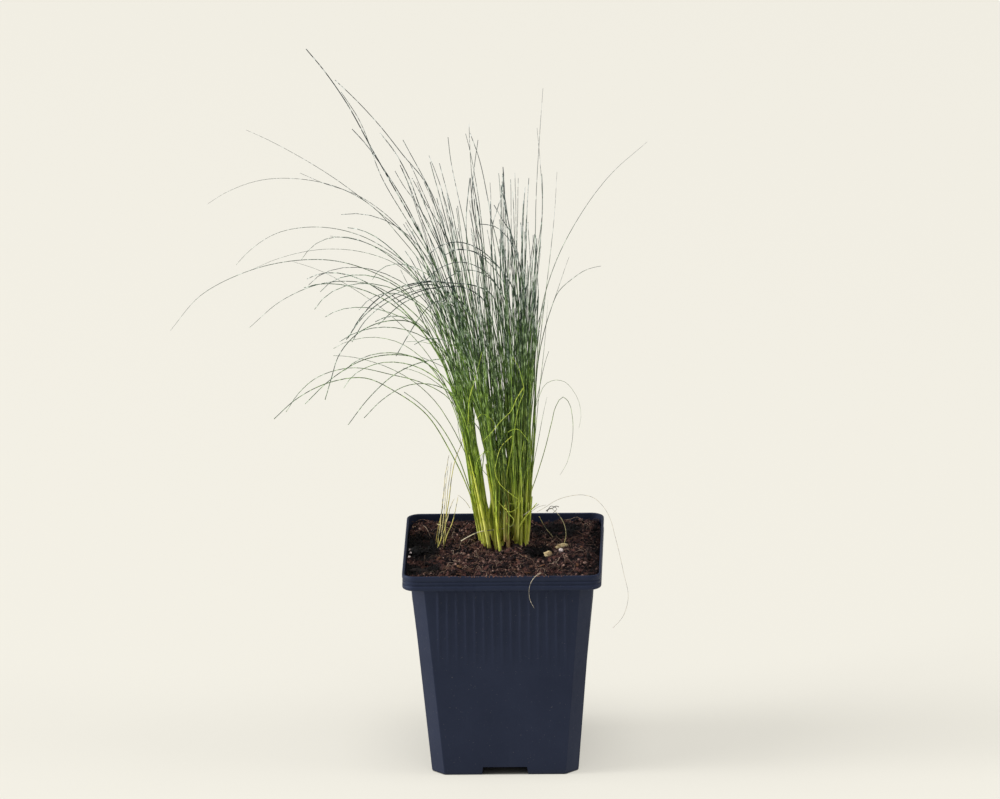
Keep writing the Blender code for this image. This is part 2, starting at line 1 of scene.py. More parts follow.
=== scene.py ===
"""Looks of the feather grass in its nursery pot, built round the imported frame, in metres.

The fine blades repeat the rule and the seeds of the frame's bunches, so each lies where the frame
has its stand-in. More blades from the same tillers fill the clump, and the blades and strands that
stand out in the photograph are drawn through the pixels where it shows them, at a chosen depth.
"""

import math
import random
from collections import namedtuple

import bmesh
import bpy
import numpy as np
from mathutils import Euler, Matrix, Vector, noise


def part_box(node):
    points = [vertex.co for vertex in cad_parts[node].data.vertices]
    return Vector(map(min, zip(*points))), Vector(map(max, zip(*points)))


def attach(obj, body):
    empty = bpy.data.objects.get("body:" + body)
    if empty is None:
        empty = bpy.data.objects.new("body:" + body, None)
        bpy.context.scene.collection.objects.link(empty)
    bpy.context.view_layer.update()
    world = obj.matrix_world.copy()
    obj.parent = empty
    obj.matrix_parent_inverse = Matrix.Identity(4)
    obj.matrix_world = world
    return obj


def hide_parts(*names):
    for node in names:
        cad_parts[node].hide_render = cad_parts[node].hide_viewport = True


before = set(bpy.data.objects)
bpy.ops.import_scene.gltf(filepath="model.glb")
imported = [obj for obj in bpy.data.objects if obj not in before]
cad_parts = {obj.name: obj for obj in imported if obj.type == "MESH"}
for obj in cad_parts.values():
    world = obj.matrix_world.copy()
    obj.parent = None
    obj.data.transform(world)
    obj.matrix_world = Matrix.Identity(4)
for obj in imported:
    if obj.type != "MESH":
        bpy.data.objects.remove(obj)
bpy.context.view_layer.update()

MM = 0.001

# View: the photograph's size, its scale, and the pixel of the middle of the pot's rim
IMAGE_SIZE = (1000, 799)
PIXELS_PER_METRE = 2204
RIM_PIXEL = (503.5, 544.5)
AZIMUTH = 1.55
ELEVATION = 18.1
ROLL = 0.9
VIEW_DISTANCE = 6.0
SENSOR = 36

# Stage: the paper floor and its own glow, the room's light, and lamps as name, place, size and watts
FLOOR_REACH = 12
FLOOR_COLOUR = (0.40, 0.389, 0.348, 1)
FLOOR_GLOW = (0.436, 0.420, 0.376, 1)
ROOM_COLOUR = (0.97, 0.98, 1.0, 1)
ROOM_LIGHT = 0.32
LIGHTS = (
    ("key", (-12.0, -2.4, 9.0), 9.5, 1200),
    ("low", (-12.0, -1.4, 2.5), 3.8, 900),
    ("side", (12.0, -1.5, 7.0), 7.0, 440),
    ("top", (0.5, -2.0, 9.0), 5.0, 310),
)

# Pot
POT_HEIGHT = 0.099
RIM_WIDTH = 0.090
BODY_TOP_WIDTH = 0.082
BODY_BOTTOM_WIDTH = 0.0665
WALL = 0.0011
FLOOR = 0.0014
BODY_CUT = 0.0058
BODY_FILLET = 0.0006
COLLAR_HEIGHT = 0.0070
COLLAR_ROUND = 0.0062
NOTCH_WIDTH = 0.0222
NOTCH_TOP_WIDTH = 0.0200
NOTCH_HEIGHT = 0.0038
POCKET_DEPTH = 0.0120
SLOT_SIZE = (0.0120, 0.0032)
SLOT_PLACE = 0.58
DRAIN_RADIUS = 0.0026
DRAIN_PLACE = 0.0190
RIB_COUNT = 15
RIB_PITCH = 0.0041
RIB_LENGTH = 0.040
RIB_HEIGHT = 0.00065
POT_SIDE_POINTS = 150

# Collar face, as millimetres below the rim and millimetres out from its widest
COLLAR_FACE = (
    (0.00, -0.45), (0.12, -0.15), (0.40, 0.00), (1.90, 0.00), (2.25, -0.12), (2.45, -0.42),
    (2.90, -0.42), (3.15, -0.16), (3.75, -0.12), (4.05, -0.42), (4.70, -0.46), (5.00, -0.12),
    (5.25, -0.04), (6.35, -0.04), (6.70, -0.16), (6.92, -0.50), (7.00, -1.00),
)

# Soil
SOIL_DROP = 0.0034
SOIL_LUMP = 0.0022
SOIL_LUMP_SIZE = 0.0105
SOIL_GRAIN = 0.0006
SOIL_GRAIN_SIZE = 0.0020
SOIL_GRID = 200
SHELF_COVER = 0.0008
SHELF_STARTS = 0.93

# How many crumbs and scraps lie on the soil, and their uneven sizes as spans of one size
CRUMBS = 7000
CRUMB_SPANS = ((0.7, 1.5), (0.6, 1.1), (0.5, 0.9))
RIM_CRUMBS = 90
SOIL_CLUMPS = 150
CLUMP_SPANS = ((0.8, 1.3), (0.7, 1.0), (0.5, 0.8))
FINE_FIBRES = 420
STOUT_FIBRES = 40
BARK_CHIPS = 60

# Clump
CLUMP = Vector((0.0, 0.010))
CLUMP_RADIUS = 0.0122
SECTORS_MEET = Vector((0.0045, 0.010))
SHEATH_RADIUS = 0.00110
ROOT_SINK = 0.0020
TILLER_LEAN = (1.5, 4.0, 5.0)
GAP = 0.0003
SEED = 7
CLUMP_REACH = 0.150

# Blades and sheaths, and how much a blade narrows to its tip, more so in the bunches whose tips stand
# far out
BLADE_STEPS = 26
BLADE_WIDTH = 0.00068
BLADE_TIP_SHARE = 0.45
BLADE_SIDES = 6
SHEATH_SIDES = 8
FAR = ("tillers_left", "tillers_right")
FAR_TAPER = 0.74
NEAR_TAPER = 0.40

# Blades that the frame doesn't have: how many on each tiller, more where a sector starts in front, and
# how many tillers more in each bunch, one fewer in some
EXTRA_BLADES = 3
FRONT_BLADES = 7
FRONT = range(230, 300)
EXTRA_TILLERS = 2
FEWER_TILLERS = ("tillers_left", "tillers_front_left", "tillers_tall")
ANY_HEADING = (-360, 720)

# How far the frame's own blades and the extra ones are combed to -X and wander, and their small kinks
OWN_COMB = 0.009
EXTRA_COMB = 0.020
OWN_SWAY = 0.0055
EXTRA_SWAY = 0.0060
KINK = 0.00024

# Distances between the points of strands that are drawn through pixels
BLADE_SPACING = 0.0030
SHEATH_SPACING = 0.0025
CURL_SPACING = 0.0012
STRAW_SPACING = 0.0010

# Round hollows and heaps of the soil, in metres
Hollow = namedtuple("Hollow", "x y half_x half_y depth")
HOLLOWS = (
    Hollow(-0.0360, 0.0170, 0.0050, 0.0150, 0.0130),
    Hollow(-0.0370, -0.0190, 0.0060, 0.0085, 0.0110),
    Hollow(0.0155, -0.0040, 0.0048, 0.0052, 0.0065),
    Hollow(0.0230, 0.0300, 0.0110, 0.0080, 0.0040),
)
# Painted shade on the soil: where its colour is darkened to near black in place of the shade in its deep
# pits and beside the clump, with the darkness as depth
PAINTED_PIT_SHADE = (
    Hollow(-0.0370, 0.0070, 0.0085, 0.0200, 1.0),
    Hollow(-0.0370, -0.0240, 0.0095, 0.0100, 1.0),
    Hollow(0.0160, -0.0020, 0.0072, 0.0075, 1.0),
    Hollow(0.0230, 0.0300, 0.0130, 0.0100, 1.0),
    Hollow(0.0430, 0.0000, 0.0060, 0.0400, 0.6),
    Hollow(-0.0080, 0.0150, 0.0040, 0.0080, 0.5),
)
HEAPS = (
    Hollow(0.0000, 0.0060, 0.0260, 0.0240, 0.0024),
    Hollow(0.0330, -0.0100, 0.0140, 0.0300, 0.0018),
    Hollow(-0.0385, -0.0040, 0.0060, 0.0050, 0.0020),
)

Blade = namedtuple("Blade", "heading turn lean tip_lean bend length rise")
Kind = namedtuple("Kind", "count lean tip_lean bend length")
Bunch = namedtuple("Bunch", "name sector tillers sheath kinds slot brightness")


def straight(count, low, high):
    return Kind(count, (0, 4), (1, 10), (1.0, 1.6), (low, high))


def leaning(count, low, high):
    return Kind(count, (1, 6), (10, 34), (1.2, 2.2), (low, high))


def arching(count, low, high):
    return Kind(count, (1, 6), (100, 150), (2.0, 3.6), (low, high))


# The last number of a bunch is the share of its blades painted as lit rather than in shade: high in the
# bunches on the left and in front, which face the key lamp, and low on the right and at the back
BUNCHES = (
    Bunch("tillers_left", (162, 199), 4, (0.022, 0.034),
          (leaning(5, 0.095, 0.150), arching(2, 0.120, 0.180)), "lime_blades", 0.72),
    Bunch("tillers_front_left", (199, 230), 3, (0.022, 0.036),
          (leaning(5, 0.085, 0.140), arching(2, 0.120, 0.165)), "lime_blades", 0.76),
    Bunch("tillers_front", (230, 248), 1, (0.026, 0.030),
          (leaning(6, 0.085, 0.140), straight(5, 0.090, 0.145)), "lime_blades", 0.60),
    Bunch("dry_tillers", (248, 266), 1, (0.020, 0.024),
          (leaning(2, 0.060, 0.110), straight(3, 0.080, 0.130)), "dry_sheaths", 0.45),
    Bunch("tillers_front_right", (266, 306), 3, (0.020, 0.034),
          (straight(8, 0.090, 0.145),), "green_blades", 0.46),
    Bunch("tillers_right", (306, 388), 5, (0.020, 0.034),
          (straight(7, 0.090, 0.150),), "green_blades", 0.32),
    Bunch("tillers_back_right", (28, 72), 3, (0.020, 0.034),
          (straight(8, 0.100, 0.165),), "green_blades", 0.28),
    Bunch("tillers_back", (72, 106), 3, (0.020, 0.034),
          (straight(6, 0.100, 0.165), leaning(2, 0.110, 0.150)), "green_blades", 0.34),
    Bunch("tillers_back_left", (106, 134), 3, (0.022, 0.034),
          (leaning(5, 0.110, 0.165), straight(3, 0.110, 0.175)), "green_blades", 0.46),
    Bunch("tillers_tall", (134, 162), 3, (0.022, 0.034),
          (leaning(7, 0.110, 0.175), arching(1, 0.140, 0.190)), "green_blades", 0.52),
)

# The gap between the outer left tillers and the others, in pixels: its middle line, the rows where it
# opens and closes, half its width, and how far the blades beside it are pushed together
PARTING = ((466, 400), (473, 417), (484, 459), (489, 500), (490, 518))
PARTING_FADE = (396, 424, 500, 520)
PARTING_HALF = 3.0
PARTING_REACH = 13
PARTING_CROSSED = 7

# A strand through pixels of the photograph: its Y at the first and last pixel in millimetres, its
# width in millimetres, its tint (on a blade, how lit it is painted), its shade (None follows its height),
# and the pixels as x,y pairs
Traced = namedtuple("Traced", "near far width tint shade pixels")
BY_HEIGHT = None


def traced_blades(*rows):
    """Blades that stand out, as (near, far, width, tint of painted light, pixels from the crown to the
    tip).
    """
    return tuple(Traced(*row[:-1], BY_HEIGHT, row[-1]) for row in rows)


TRACED = {
    "tillers_tall": traced_blades(
        (12, 45, 0.67, 0.15, "488,543 476,455 455,335 430,253 411,218 373,151 344,99 322,68 306,49"),
        (12, 42, 0.72, 0.10, "489,543 477,455 461,338 437,272 423,239 405,203 385,171 364,142 352,129"),
        (12, 40, 0.65, 0.20, "493,543 489,450 471,340 452,262 441,226 425,182 403,155 380,126 352,96 "
         "335,80"),
        (13, 38, 0.62, 0.25, "493,543 488,450 468,340 445,260 421,210 409,178 392,148 380,133"),
        (14, 36, 0.60, 0.30, "494,543 490,450 474,340 450,250 432,194 421,173 410,153 403,140"),
        (12, 38, 0.60, 0.20, "489,543 478,455 464,345 435,235 414,200 403,185 395,171"),
        (13, 36, 0.62, 0.10, "492,543 488,450 466,340 437,254 420,215 411,190 400,165"),
        (14, 34, 0.60, 0.15, "493,543 489,450 470,335 443,231 424,200 412,178"),
        (15, 34, 0.58, 0.20, "494,543 490,450 472,330 450,245 432,200 424,182"),
        (12, 44, 0.50, 0.35, "488,543 475,455 456,340 433,262 408,222 383,180 357,116 341,92"),
    ),
    "tillers_left": traced_blades(
        (10, 33, 0.55, 0.25, "487,543 476,455 458,350 437,285 405,235 375,209 334,178 293,153 262,137 "
         "246,130"),
        (10, 30, 0.60, 0.20, "488,543 478,455 460,350 440,290 410,240 391,219 355,194 323,183 300,173"),
        (10, 25, 0.60, 0.20, "487,543 475,455 455,350 434,283 396,232 373,207 342,189 300,179 262,180 "
         "225,193 206,205"),
        (10, 12, 0.62, 0.25, "487,543 474,455 455,360 437,300 420,276 395,255 359,235 318,227 275,234 "
         "245,255 236,265"),
        (10, 14, 0.53, 0.40, "487,543 473,455 453,362 432,300 411,271 384,251 357,240 330,236"),
        (9, 0, 0.65, 0.25, "486,543 472,455 450,380 427,330 407,292 375,273 336,261 284,262 238,275 "
         "200,296 170,331"),
        (9, 4, 0.48, 0.45, "486,543 474,455 452,370 430,300 399,266 357,251 331,249 277,259 249,271"),
        (8, -8, 0.60, 0.25, "486,543 470,455 448,375 425,325 402,303 375,286 331,282 281,301 249,328"),
        (8, 10, 0.50, 0.35, "486,543 468,455 450,395 431,359 397,321 357,291 316,269 291,261"),
    ),
    "tillers_front_left": traced_blades(
        (3, -14, 0.77, 0.05, "494,541 489,450 476,360 464,305 445,283 411,284 379,298 361,317 348,338"),
        (3, -16, 0.77, 0.10, "494,541 490,450 478,360 462,305 434,285 395,294 363,317 346,340"),
        (2, -17, 0.72, 0.05, "495,541 491,450 480,360 468,310 438,289 400,296 365,321 352,342"),
        (2, -14, 0.65, 0.25, "495,541 492,450 480,365 463,315 436,293 405,302 378,325"),
        (4, -16, 0.67, 0.20, "488,543 474,455 458,390 437,345 411,322 382,322 357,334 338,357 332,376 "
         "325,400"),
        (3, -18, 0.72, 0.45, "484,545 468,489 451,453 423,411 396,392 365,378 331,382 295,400 274,419"),
        (3, -8, 0.55, 0.50, "485,545 470,490 454,448 436,420 418,402 404,392"),
        (4, -14, 0.60, 0.30, "486,543 468,455 448,390 420,359 402,355 366,359 330,380 305,404"),
        (3, -16, 0.70, 0.10, "487,543 475,455 464,385 449,360 427,361 397,373 368,399 348,425"),
        (3, -13, 0.58, 0.30, "488,543 474,460 449,391 429,384 409,385 382,400 364,418"),
        (3, -12, 0.67, 0.15, "488,543 476,455 460,360 448,303 438,301 420,317 409,334 396,356"),
        (5, -10, 0.55, 0.35, "487,543 470,455 445,395 420,382 393,375 349,368 313,380 298,394 286,412"),
    ),
    "tillers_front_right": traced_blades(
        (3, 2, 0.60, 0.20, "515,540 520,400 519,280 511,233 505,205 503,167"),
        (3, 6, 0.72, 0.10, "518,540 522,400 523,277 517,255 511,233 502,219 494,205"),
        (3, 8, 0.62, 0.15, "512,540 508,380 501,264 496,237 492,222 488,200 478,155 470,133"),
        (3, 4, 0.55, 0.30, "510,540 500,380 496,260 493,223 498,207 503,190"),
        (3, -4, 0.72, 0.10, "519,540 524,400 519,320 510,282 496,264 482,251 471,245 457,242 440,246 "
         "426,257"),
        (4, -6, 0.67, 0.15, "517,540 520,400 512,320 502,280 488,262 474,252 458,249 445,255"),
        (4, -5, 0.67, 0.10, "520,540 526,400 524,330 514,290 499,268 484,256 468,250 452,250"),
        (4, -10, 0.72, 0.10, "508,540 506,400 500,330 489,292 476,286 451,283 428,282 405,287"),
        (4, -8, 0.67, 0.15, "512,540 512,400 506,330 496,284 480,268 460,262 440,268 424,282"),
        (4, -8, 0.67, 0.10, "514,540 516,400 510,330 500,290 484,274 466,270 448,278 434,296"),
        (4, -12, 0.72, 0.10, "504,540 502,400 494,330 480,296 462,287 440,287 418,292 394,304"),
        (3, -4, 0.67, 0.10, "516,540 522,400 524,300 519,262 508,238 494,226 478,224"),
    ),
    "tillers_right": traced_blades(
        (8, 25, 0.53, 0.30, "527,540 533,450 537,360 541,312 557,259 576,222 612,173 647,142"),
        (8, 16, 0.53, 0.30, "526,540 531,450 538,360 543,315 547,282 551,248 554,220 557,172"),
        (8, 10, 0.60, 0.20, "527,540 534,450 541,345 550,312 559,291 572,279 588,269 601,266"),
        (8, 12, 0.55, 0.20, "526,540 533,450 540,350 549,315 558,289 564,271 569,257"),
        (7, 0, 0.38, 0.55, "526,541 532,450 538,400 547,383 556,380 565,382 572,389 579,402 581,417 "
         "579,428"),
        (7, -2, 0.43, 0.35, "526,541 529,500 538,472 545,449 552,421 556,406 563,397 568,401 572,414 "
         "573,431 571,448 567,463 560,475"),
        (7, 6, 0.48, 0.10, "525,541 530,490 534,462 538,442 543,415 547,397"),
        (8, 10, 0.53, 0.15, "524,541 532,470 540,385 544,350 548,300"),
        (9, 14, 0.55, 0.20, "521,540 527,420 531,276 535,238 536,200 540,130 543,88"),
        (9, 14, 0.53, 0.25, "521,540 526,400 536,260 542,215 540,160 537,128"),
    ),
    "tillers_back_left": traced_blades(
        (18, 26, 0.55, 0.30, "505,538 485,380 467,238 464,222 459,200 450,155 448,137"),
        (18, 24, 0.62, 0.75, "505,538 484,380 467,245 466,222 468,195 470,178"),
        (18, 26, 0.53, 0.25, "506,538 490,380 482,243 476,225 472,206 474,170 478,140"),
        (18, 28, 0.50, 0.30, "507,538 494,380 480,250 473,190 470,150 469,124"),
    ),
}

# Sheaths that show at the clump's foot
SHEATHS = {
    "tillers_front": (
        Traced(1.0, -1.0, 2.3, 0.95, 0.02, "499,540 496,520 491,490 486,464"),
        Traced(0.6, -0.6, 1.0, 0.35, 0.10, "502,540 500,520 497,495 494,470"),
    ),
    "tillers_front_left": (
        Traced(-0.5, -3.0, 1.5, 1.00, 0.00, "489,548 484,522 477,490 469,455"),
        Traced(0.5, -1.5, 1.3, 0.80, 0.05, "485,546 480,515 472,478 462,432"),
    ),
    "dry_tillers": (
        Traced(-2.2, -2.6, 2.2, 0.60, 0.20, "506,541 505,525 504,508 503,494"),
        Traced(-2.6, -3.0, 0.9, 0.80, 0.30, "508,540 509,522 508,505 505,494 500,488"),
    ),
    "tillers_front_right": (
        Traced(0.5, -1.0, 1.2, 0.80, 0.06, "513,540 519,527 528,514 537,503"),
        Traced(0.0, -1.0, 1.5, 0.70, 0.08, "517,541 518,520 519,495 521,470"),
    ),
}

# Thin curled blades in front of the clump and beside it
CURLS = (
    Traced(-9, -12, 0.36, 0.78, 0.24, "524,387 517,398 511,411 501,421 491,433 482,442"),
    Traced(-2, -9, 0.38, 0.88, 0.14, "489,443 492,457 494,470 500,484 507,491 515,497 519,500 515,503 "
           "509,504"),
    Traced(-6, -8, 0.40, 0.85, 0.16, "512,436 501,447 497,459 495,471 499,484"),
    Traced(-8, -10, 0.34, 0.90, 0.30, "508,432 512,430 517,429 524,435 529,442"),
    Traced(-2, -12, 0.50, 0.80, 0.30, "506,479 508,466 512,447 515,426 519,405 524,390 522,380 518,366 "
           "512,357"),
    Traced(-4, -14, 0.50, 0.85, 0.30, "468,425 470,396 474,383 478,368 482,352"),
    Traced(-4, -6, 0.34, 0.70, 0.40, "524,441 521,458 520,470 523,480"),
    Traced(-3, -5, 0.36, 0.95, 0.14, "504,505 509,514 514,520 511,526 506,523"),
    Traced(-3, -5, 0.34, 0.90, 0.10, "497,500 503,507 510,512 518,507 521,500"),
    Traced(-5, -9, 0.34, 0.85, 0.34, "478,476 476,466 479,458 485,452 492,452"),
    Traced(-6, -9, 0.30, 0.90, 0.30, "476,420 482,414 490,418 497,428"),
)
HAIRS = (
    Traced(-2.0, 3.0, 0.42, 0.95, 0.90, "461,541 468,537 479,532 492,530 502,529 513,525 520,518 528,512 "
           "539,504"),
    Traced(6, 4, 0.22, 0.60, 0.90, "537,512 544,508 557,500 570,496 584,495 594,498 602,505 609,516 "
           "615,536 623,570 628,600 622,618 613,628"),
    Traced(4, 4, 0.36, 0.80, 0.80, "564,544 566,534 564,524 557,513 551,508"),
    Traced(8, 8, 0.42, 0.00, 0.00, "546,511 549,509 553,508 556,506 559,507"),
    Traced(8, 8, 0.36, 0.00, 0.00, "547,512 551,506 557,509 553,513"),
    Traced(10, 8, 0.26, 0.70, 0.70, "539,516 545,527 553,537"),
    Traced(12, 9, 0.24, 0.60, 0.70, "470,508 466,502 462,498 458,495"),
    Traced(9, 10, 0.22, 0.55, 0.80, "531,512 538,507 546,505"),
)
OVER_RIM = Traced(-45.0, -46.4, 0.22, 0.50, 0.95, "541,573 537,575 533,579 530,585 529,592 530,600 "
                  "534,608")
# Roots and straws that lie on the soil, with no depth of their own
SOIL_STRAWS = (
    (0.55, 0.85, "413,527 419,526 425,529 431,533"),
    (0.60, 0.90, "468,556 476,556 484,559"),
    (0.42, 0.95, "449,560 455,560 462,563"),
    (0.36, 0.75, "443,564 446,569 450,573"),
    (0.34, 0.90, "497,565 502,560 508,556"),
    (0.60, 0.80, "506,539 511,542 516,545 522,550"),
    (0.30, 0.85, "519,554 529,560 537,566 541,570"),
    (0.28, 0.95, "532,540 538,547 546,552"),
    (0.30, 0.70, "556,534 566,541 577,553"),
    (0.34, 0.60, "474,566 478,560 477,553"),
)

# White specks as their pixel and size, and scraps of bark as their pixel, sizes, turn and tint
PERLITE_SPECKS = (((410, 549), 0.0008), ((411, 553), 0.0006), ((409, 557), 0.0007), ((525, 577), 0.0002))
BARK_SCRAPS = (
    ((420, 571), (0.0046, 0.0014, 0.0008), (0.2, 0.1, -0.1), 0.75),
    ((429, 574), (0.0024, 0.0010, 0.0006), (0.1, 0.2, 0.5), 0.55),
)

# Tuft stems as their twins in the frame, then the thin blades that rise from it
TUFT = Vector((-0.0290, 0.0080))
TUFT_WIDTH = 0.00052
TUFT_SWAY = 0.001
TUFT_STEMS = (
    (-0.0018, -0.0016, 5, 0, 6, 9, 1.0, 0.050),
    (0.0012, 0.0012, 350, 0, 3, 8, 1.0, 0.046),
    (-0.0008, 0.0022, 20, 0, 9, 4, 1.0, 0.043),
    (0.0016, -0.0012, 300, 0, 4, 40, 1.6, 0.034),
)
TUFT_BLADES = (
    Traced(5, 8, 0.62, 0.85, 0.62, "436,552 441,540 446,525 447,512 449,500 452,475 456,457 462,442 "
           "464,428"),
    Traced(8, 9, 0.60, 0.80, 0.62, "444,546 447,535 452,524 455,512 458,497"),
    Traced(10, 10, 0.40, 0.60, 0.45, "436,544 438,529 441,516 443,506"),
    Traced(9, 8, 0.34, 0.80, 0.75, "437,524 443,526 451,529"),
)


def new_object(name, mesh):
    obj = bpy.data.objects.new(name, mesh)
    bpy.context.scene.collection.objects.link(obj)
    return obj


def object_of(name, shape):
    """An object from a bmesh, which is freed."""
    mesh = bpy.data.meshes.new(name)
    shape.to_mesh(mesh)
    shape.free()
    return new_object(name, mesh)


def mesh_from(name, points, faces):
    """A smooth mesh from points and faces."""
    mesh = bpy.data.meshes.new(name)
    mesh.from_pydata(np.asarray(points).tolist(), [], faces)
    mesh.shade_smooth()
    mesh.validate()
    return mesh


def add_pit_shade(mesh):
    """Marks how deep in the painted shade of a pit each point of something on the soil is."""
    place = np.empty(len(mesh.vertices) * 3, dtype=np.float32)
    mesh.vertices.foreach_get("co", place)
    x, y, _ = place.reshape(-1, 3).T
    painted_shade = np.zeros(len(x))
    for pit in PAINTED_PIT_SHADE:
        distance = np.hypot((x - pit.x) / pit.half_x, (y - pit.y) / pit.half_y)
        painted_shade = np.maximum(painted_shade, np.clip((1.15 - distance) / 0.3, 0, 1) * pit.depth)
    add_attribute(mesh, "pit", painted_shade)


def add_attribute(mesh, name, values):
    made = mesh.attributes.new(name, "FLOAT", "POINT")
    made.data.foreach_set("value", np.asarray(values, dtype=np.float32))


def settle(obj, slot, material, *nodes):
    """Gives a finished piece its material and its place on the plant's one body."""
    obj.data.materials.clear()
    obj.data.materials.append(material)
    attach(obj, "root")
    if nodes:
        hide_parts(*nodes)


def add_piece(name, mesh, slot, material, *nodes):
    settle(new_object(name, mesh), slot, material, *nodes)


# View


def view_axes():
    """Right, up and back of the photograph's view."""
    azimuth, elevation, roll = (math.radians(a) for a in (AZIMUTH, ELEVATION, ROLL))
    right = Vector((math.cos(azimuth), math.sin(azimuth), 0))
    back = Vector((math.sin(azimuth) * math.cos(elevation), -math.cos(azimuth) * math.cos(elevation),
                   math.sin(elevation)))
    up = back.cross(right)
    turned_right = right * math.cos(roll) - up * math.sin(roll)
    turned_up = right * math.sin(roll) + up * math.cos(roll)
    return turned_right, turned_up, back


RIGHT, UP, BACK = view_axes()
VIEW_MIDDLE = (Vector((0, 0, POT_HEIGHT)) + RIGHT * (IMAGE_SIZE[0] / 2 - RIM_PIXEL[0]) / PIXELS_PER_METRE
               + UP * (RIM_PIXEL[1] - IMAGE_SIZE[1] / 2) / PIXELS_PER_METRE)
VIEW_PLACE = VIEW_MIDDLE + BACK * VIEW_DISTANCE


def sight_line(pixel):
    across = (pixel[0] - IMAGE_SIZE[0] / 2) / PIXELS_PER_METRE
    above = (IMAGE_SIZE[1] / 2 - pixel[1]) / PIXELS_PER_METRE
    return RIGHT * across + UP * above - BACK * VIEW_DISTANCE


def seen_at(pixel, y):
    """The point on a pixel's sight line at a given Y."""
    ray = sight_line(pixel)
    return VIEW_PLACE + ray * ((y - VIEW_PLACE.y) / ray.y)


def soil_at(pixel, lift=0.0):
    """The point of the soil that a pixel shows."""
    ray = sight_line(pixel)
    z = POT_HEIGHT - SOIL_DROP
    for _ in range(6):
        point = VIEW_PLACE + ray * ((z - VIEW_PLACE.z) / ray.z)
        z = soil_height(point.x, point.y) + lift
    return Vector((point.x, point.y, z))


def make_camera():
    data = bpy.data.cameras.new("camera")
    data.sensor_width = SENSOR
    data.lens = SENSOR * VIEW_DISTANCE * PIXELS_PER_METRE / IMAGE_SIZE[0]
    data.clip_start = 0.1
    data.clip_end = 100
    camera = new_object("camera", data)
    camera.matrix_world = Matrix.Translation(VIEW_PLACE) @ Matrix((RIGHT, UP, BACK)).transposed().to_4x4()
    bpy.context.scene.camera = camera


# Materials


def add_node(tree, kind, inputs=None, **settings):
    made = tree.nodes.new(kind)
    for name, value in settings.items():
        setattr(made, name, value)
    for name, value in (inputs or {}).items():
        if isinstance(value, bpy.types.NodeSocket):
            tree.links.new(value, made.inputs[name])
        else:
            made.inputs[name].default_value = value
    return made


def colour_ramp(tree, factor, stops):
    """Colours along a factor, from (place, colour) stops."""
    made = add_node(tree, "ShaderNodeValToRGB", {"Fac": factor})
    elements = made.color_ramp.elements
    while len(elements) < len(stops):
        elements.new(0.5)
    for element, (place, colour) in zip(elements, stops):
        element.position = place
        element.color = (*colour, 1)
    return made.outputs["Color"]


def value_map(tree, value, low, high, to_low, to_high):
    made = add_node(tree, "ShaderNodeMapRange", {"Value": value, "From Min": low, "From Max": high,
                                                 "To Min": to_low, "To Max": to_high})
    return made.outputs["Result"]


def noise_of(tree, scale, detail=4.0, roughness=0.55, stretch=(1, 1, 1)):
    """Noise over the piece, with scale in features per metre."""
    place = add_node(tree, "ShaderNodeTexCoord").outputs["Object"]
    mapped = add_node(tree, "ShaderNodeMapping", {"Vector": place, "Scale": stretch})
    made = add_node(tree, "ShaderNodeTexNoise", {"Vector": mapped.outputs["Vector"], "Scale": scale,
                                                 "Detail": detail, "Roughness": roughness})
    return made.outputs["Fac"]


def mix_colour(tree, factor, first, second, blend="MIX"):
    made = add_node(tree, "ShaderNodeMix", data_type="RGBA", blend_type=blend)
    for socket, value in zip((made.inputs[0], made.inputs[6], made.inputs[7]), (factor, first, second)):
        if isinstance(value, bpy.types.NodeSocket):
            tree.links.new(value, socket)
        else:
            socket.default_value = value if isinstance(value, (int, float)) else (*value, 1)
    return made.outputs[2]


def over(tree, base, colour, pattern, starts, full, most=1.0):
    """Lays a colour over a base, the more the further a pattern goes from starts to full."""
    return mix_colour(tree, value_map(tree, pattern, starts, full, 0, most), base, colour)


def times(tree, base, colour):
    return mix_colour(tree, 1.0, base, colour, "MULTIPLY")


def math_of(tree, operation, first, second):
    return add_node(tree, "ShaderNodeMath", {0: first, 1: second}, operation=operation).outputs["Value"]


def attribute_value(tree, name):
    return add_node(tree, "ShaderNodeAttribute", attribute_name=name).outputs["Fac"]


def start_material(name, roughness, specular=0.5):
    made = bpy.data.materials.new(name)
    made.use_nodes = True
    tree = made.node_tree
    shader = tree.nodes["Principled BSDF"]
    shader.inputs["Roughness"].default_value = roughness
    shader.inputs["Specular IOR Level"].default_value = specular
    return made, tree, shader


def set_bump(tree, shader, height, strength, distance):
    inputs = {"Height": height, "Strength": strength, "Distance": distance}
    tree.links.new(add_node(tree, "ShaderNodeBump", inputs).outputs["Normal"], shader.inputs["Normal"])


def paint_pit_shade(tree, base):
    """Painted shade: the colour is multiplied down to near black deep in the soil's pits."""
    return mix_colour(tree, attribute_value(tree, "pit"), base, times(tree, base, (0.05, 0.045, 0.07)))


def pot_plastic():
    """Dark blue-grey moulded plastic with dust, fine scuffs and dried splashes."""
    made, tree, shader = start_material("pot_plastic_finish", 0.5, 0.22)
    shader.inputs["Specular Tint"].default_value = (0.55, 0.68, 1.0, 1)
    cloud = noise_of(tree, 38, 5)
    base = colour_ramp(tree, cloud, ((0.30, (0.0150, 0.0190, 0.0380)), (0.72, (0.0200, 0.0250, 0.0480))))
    streak = noise_of(tree, 120, 3, 0.6, (1, 1, 0.06))
    base = over(tree, base, (0.036, 0.044, 0.070), streak, 0.58, 0.82, 0.30)
    specks = noise_of(tree, 1400, 2, 0.5)
    base = over(tree, base, (0.14, 0.13, 0.13), specks, 0.70, 0.78, 0.50)
    tree.links.new(base, shader.inputs["Base Color"])
    scuffs = noise_of(tree, 260, 4)
    tree.links.new(value_map(tree, scuffs, 0.3, 0.8, 0.40, 0.60), shader.inputs["Roughness"])
    set_bump(tree, shader, noise_of(tree, 900, 4), 0.10, 0.0006)
    return made


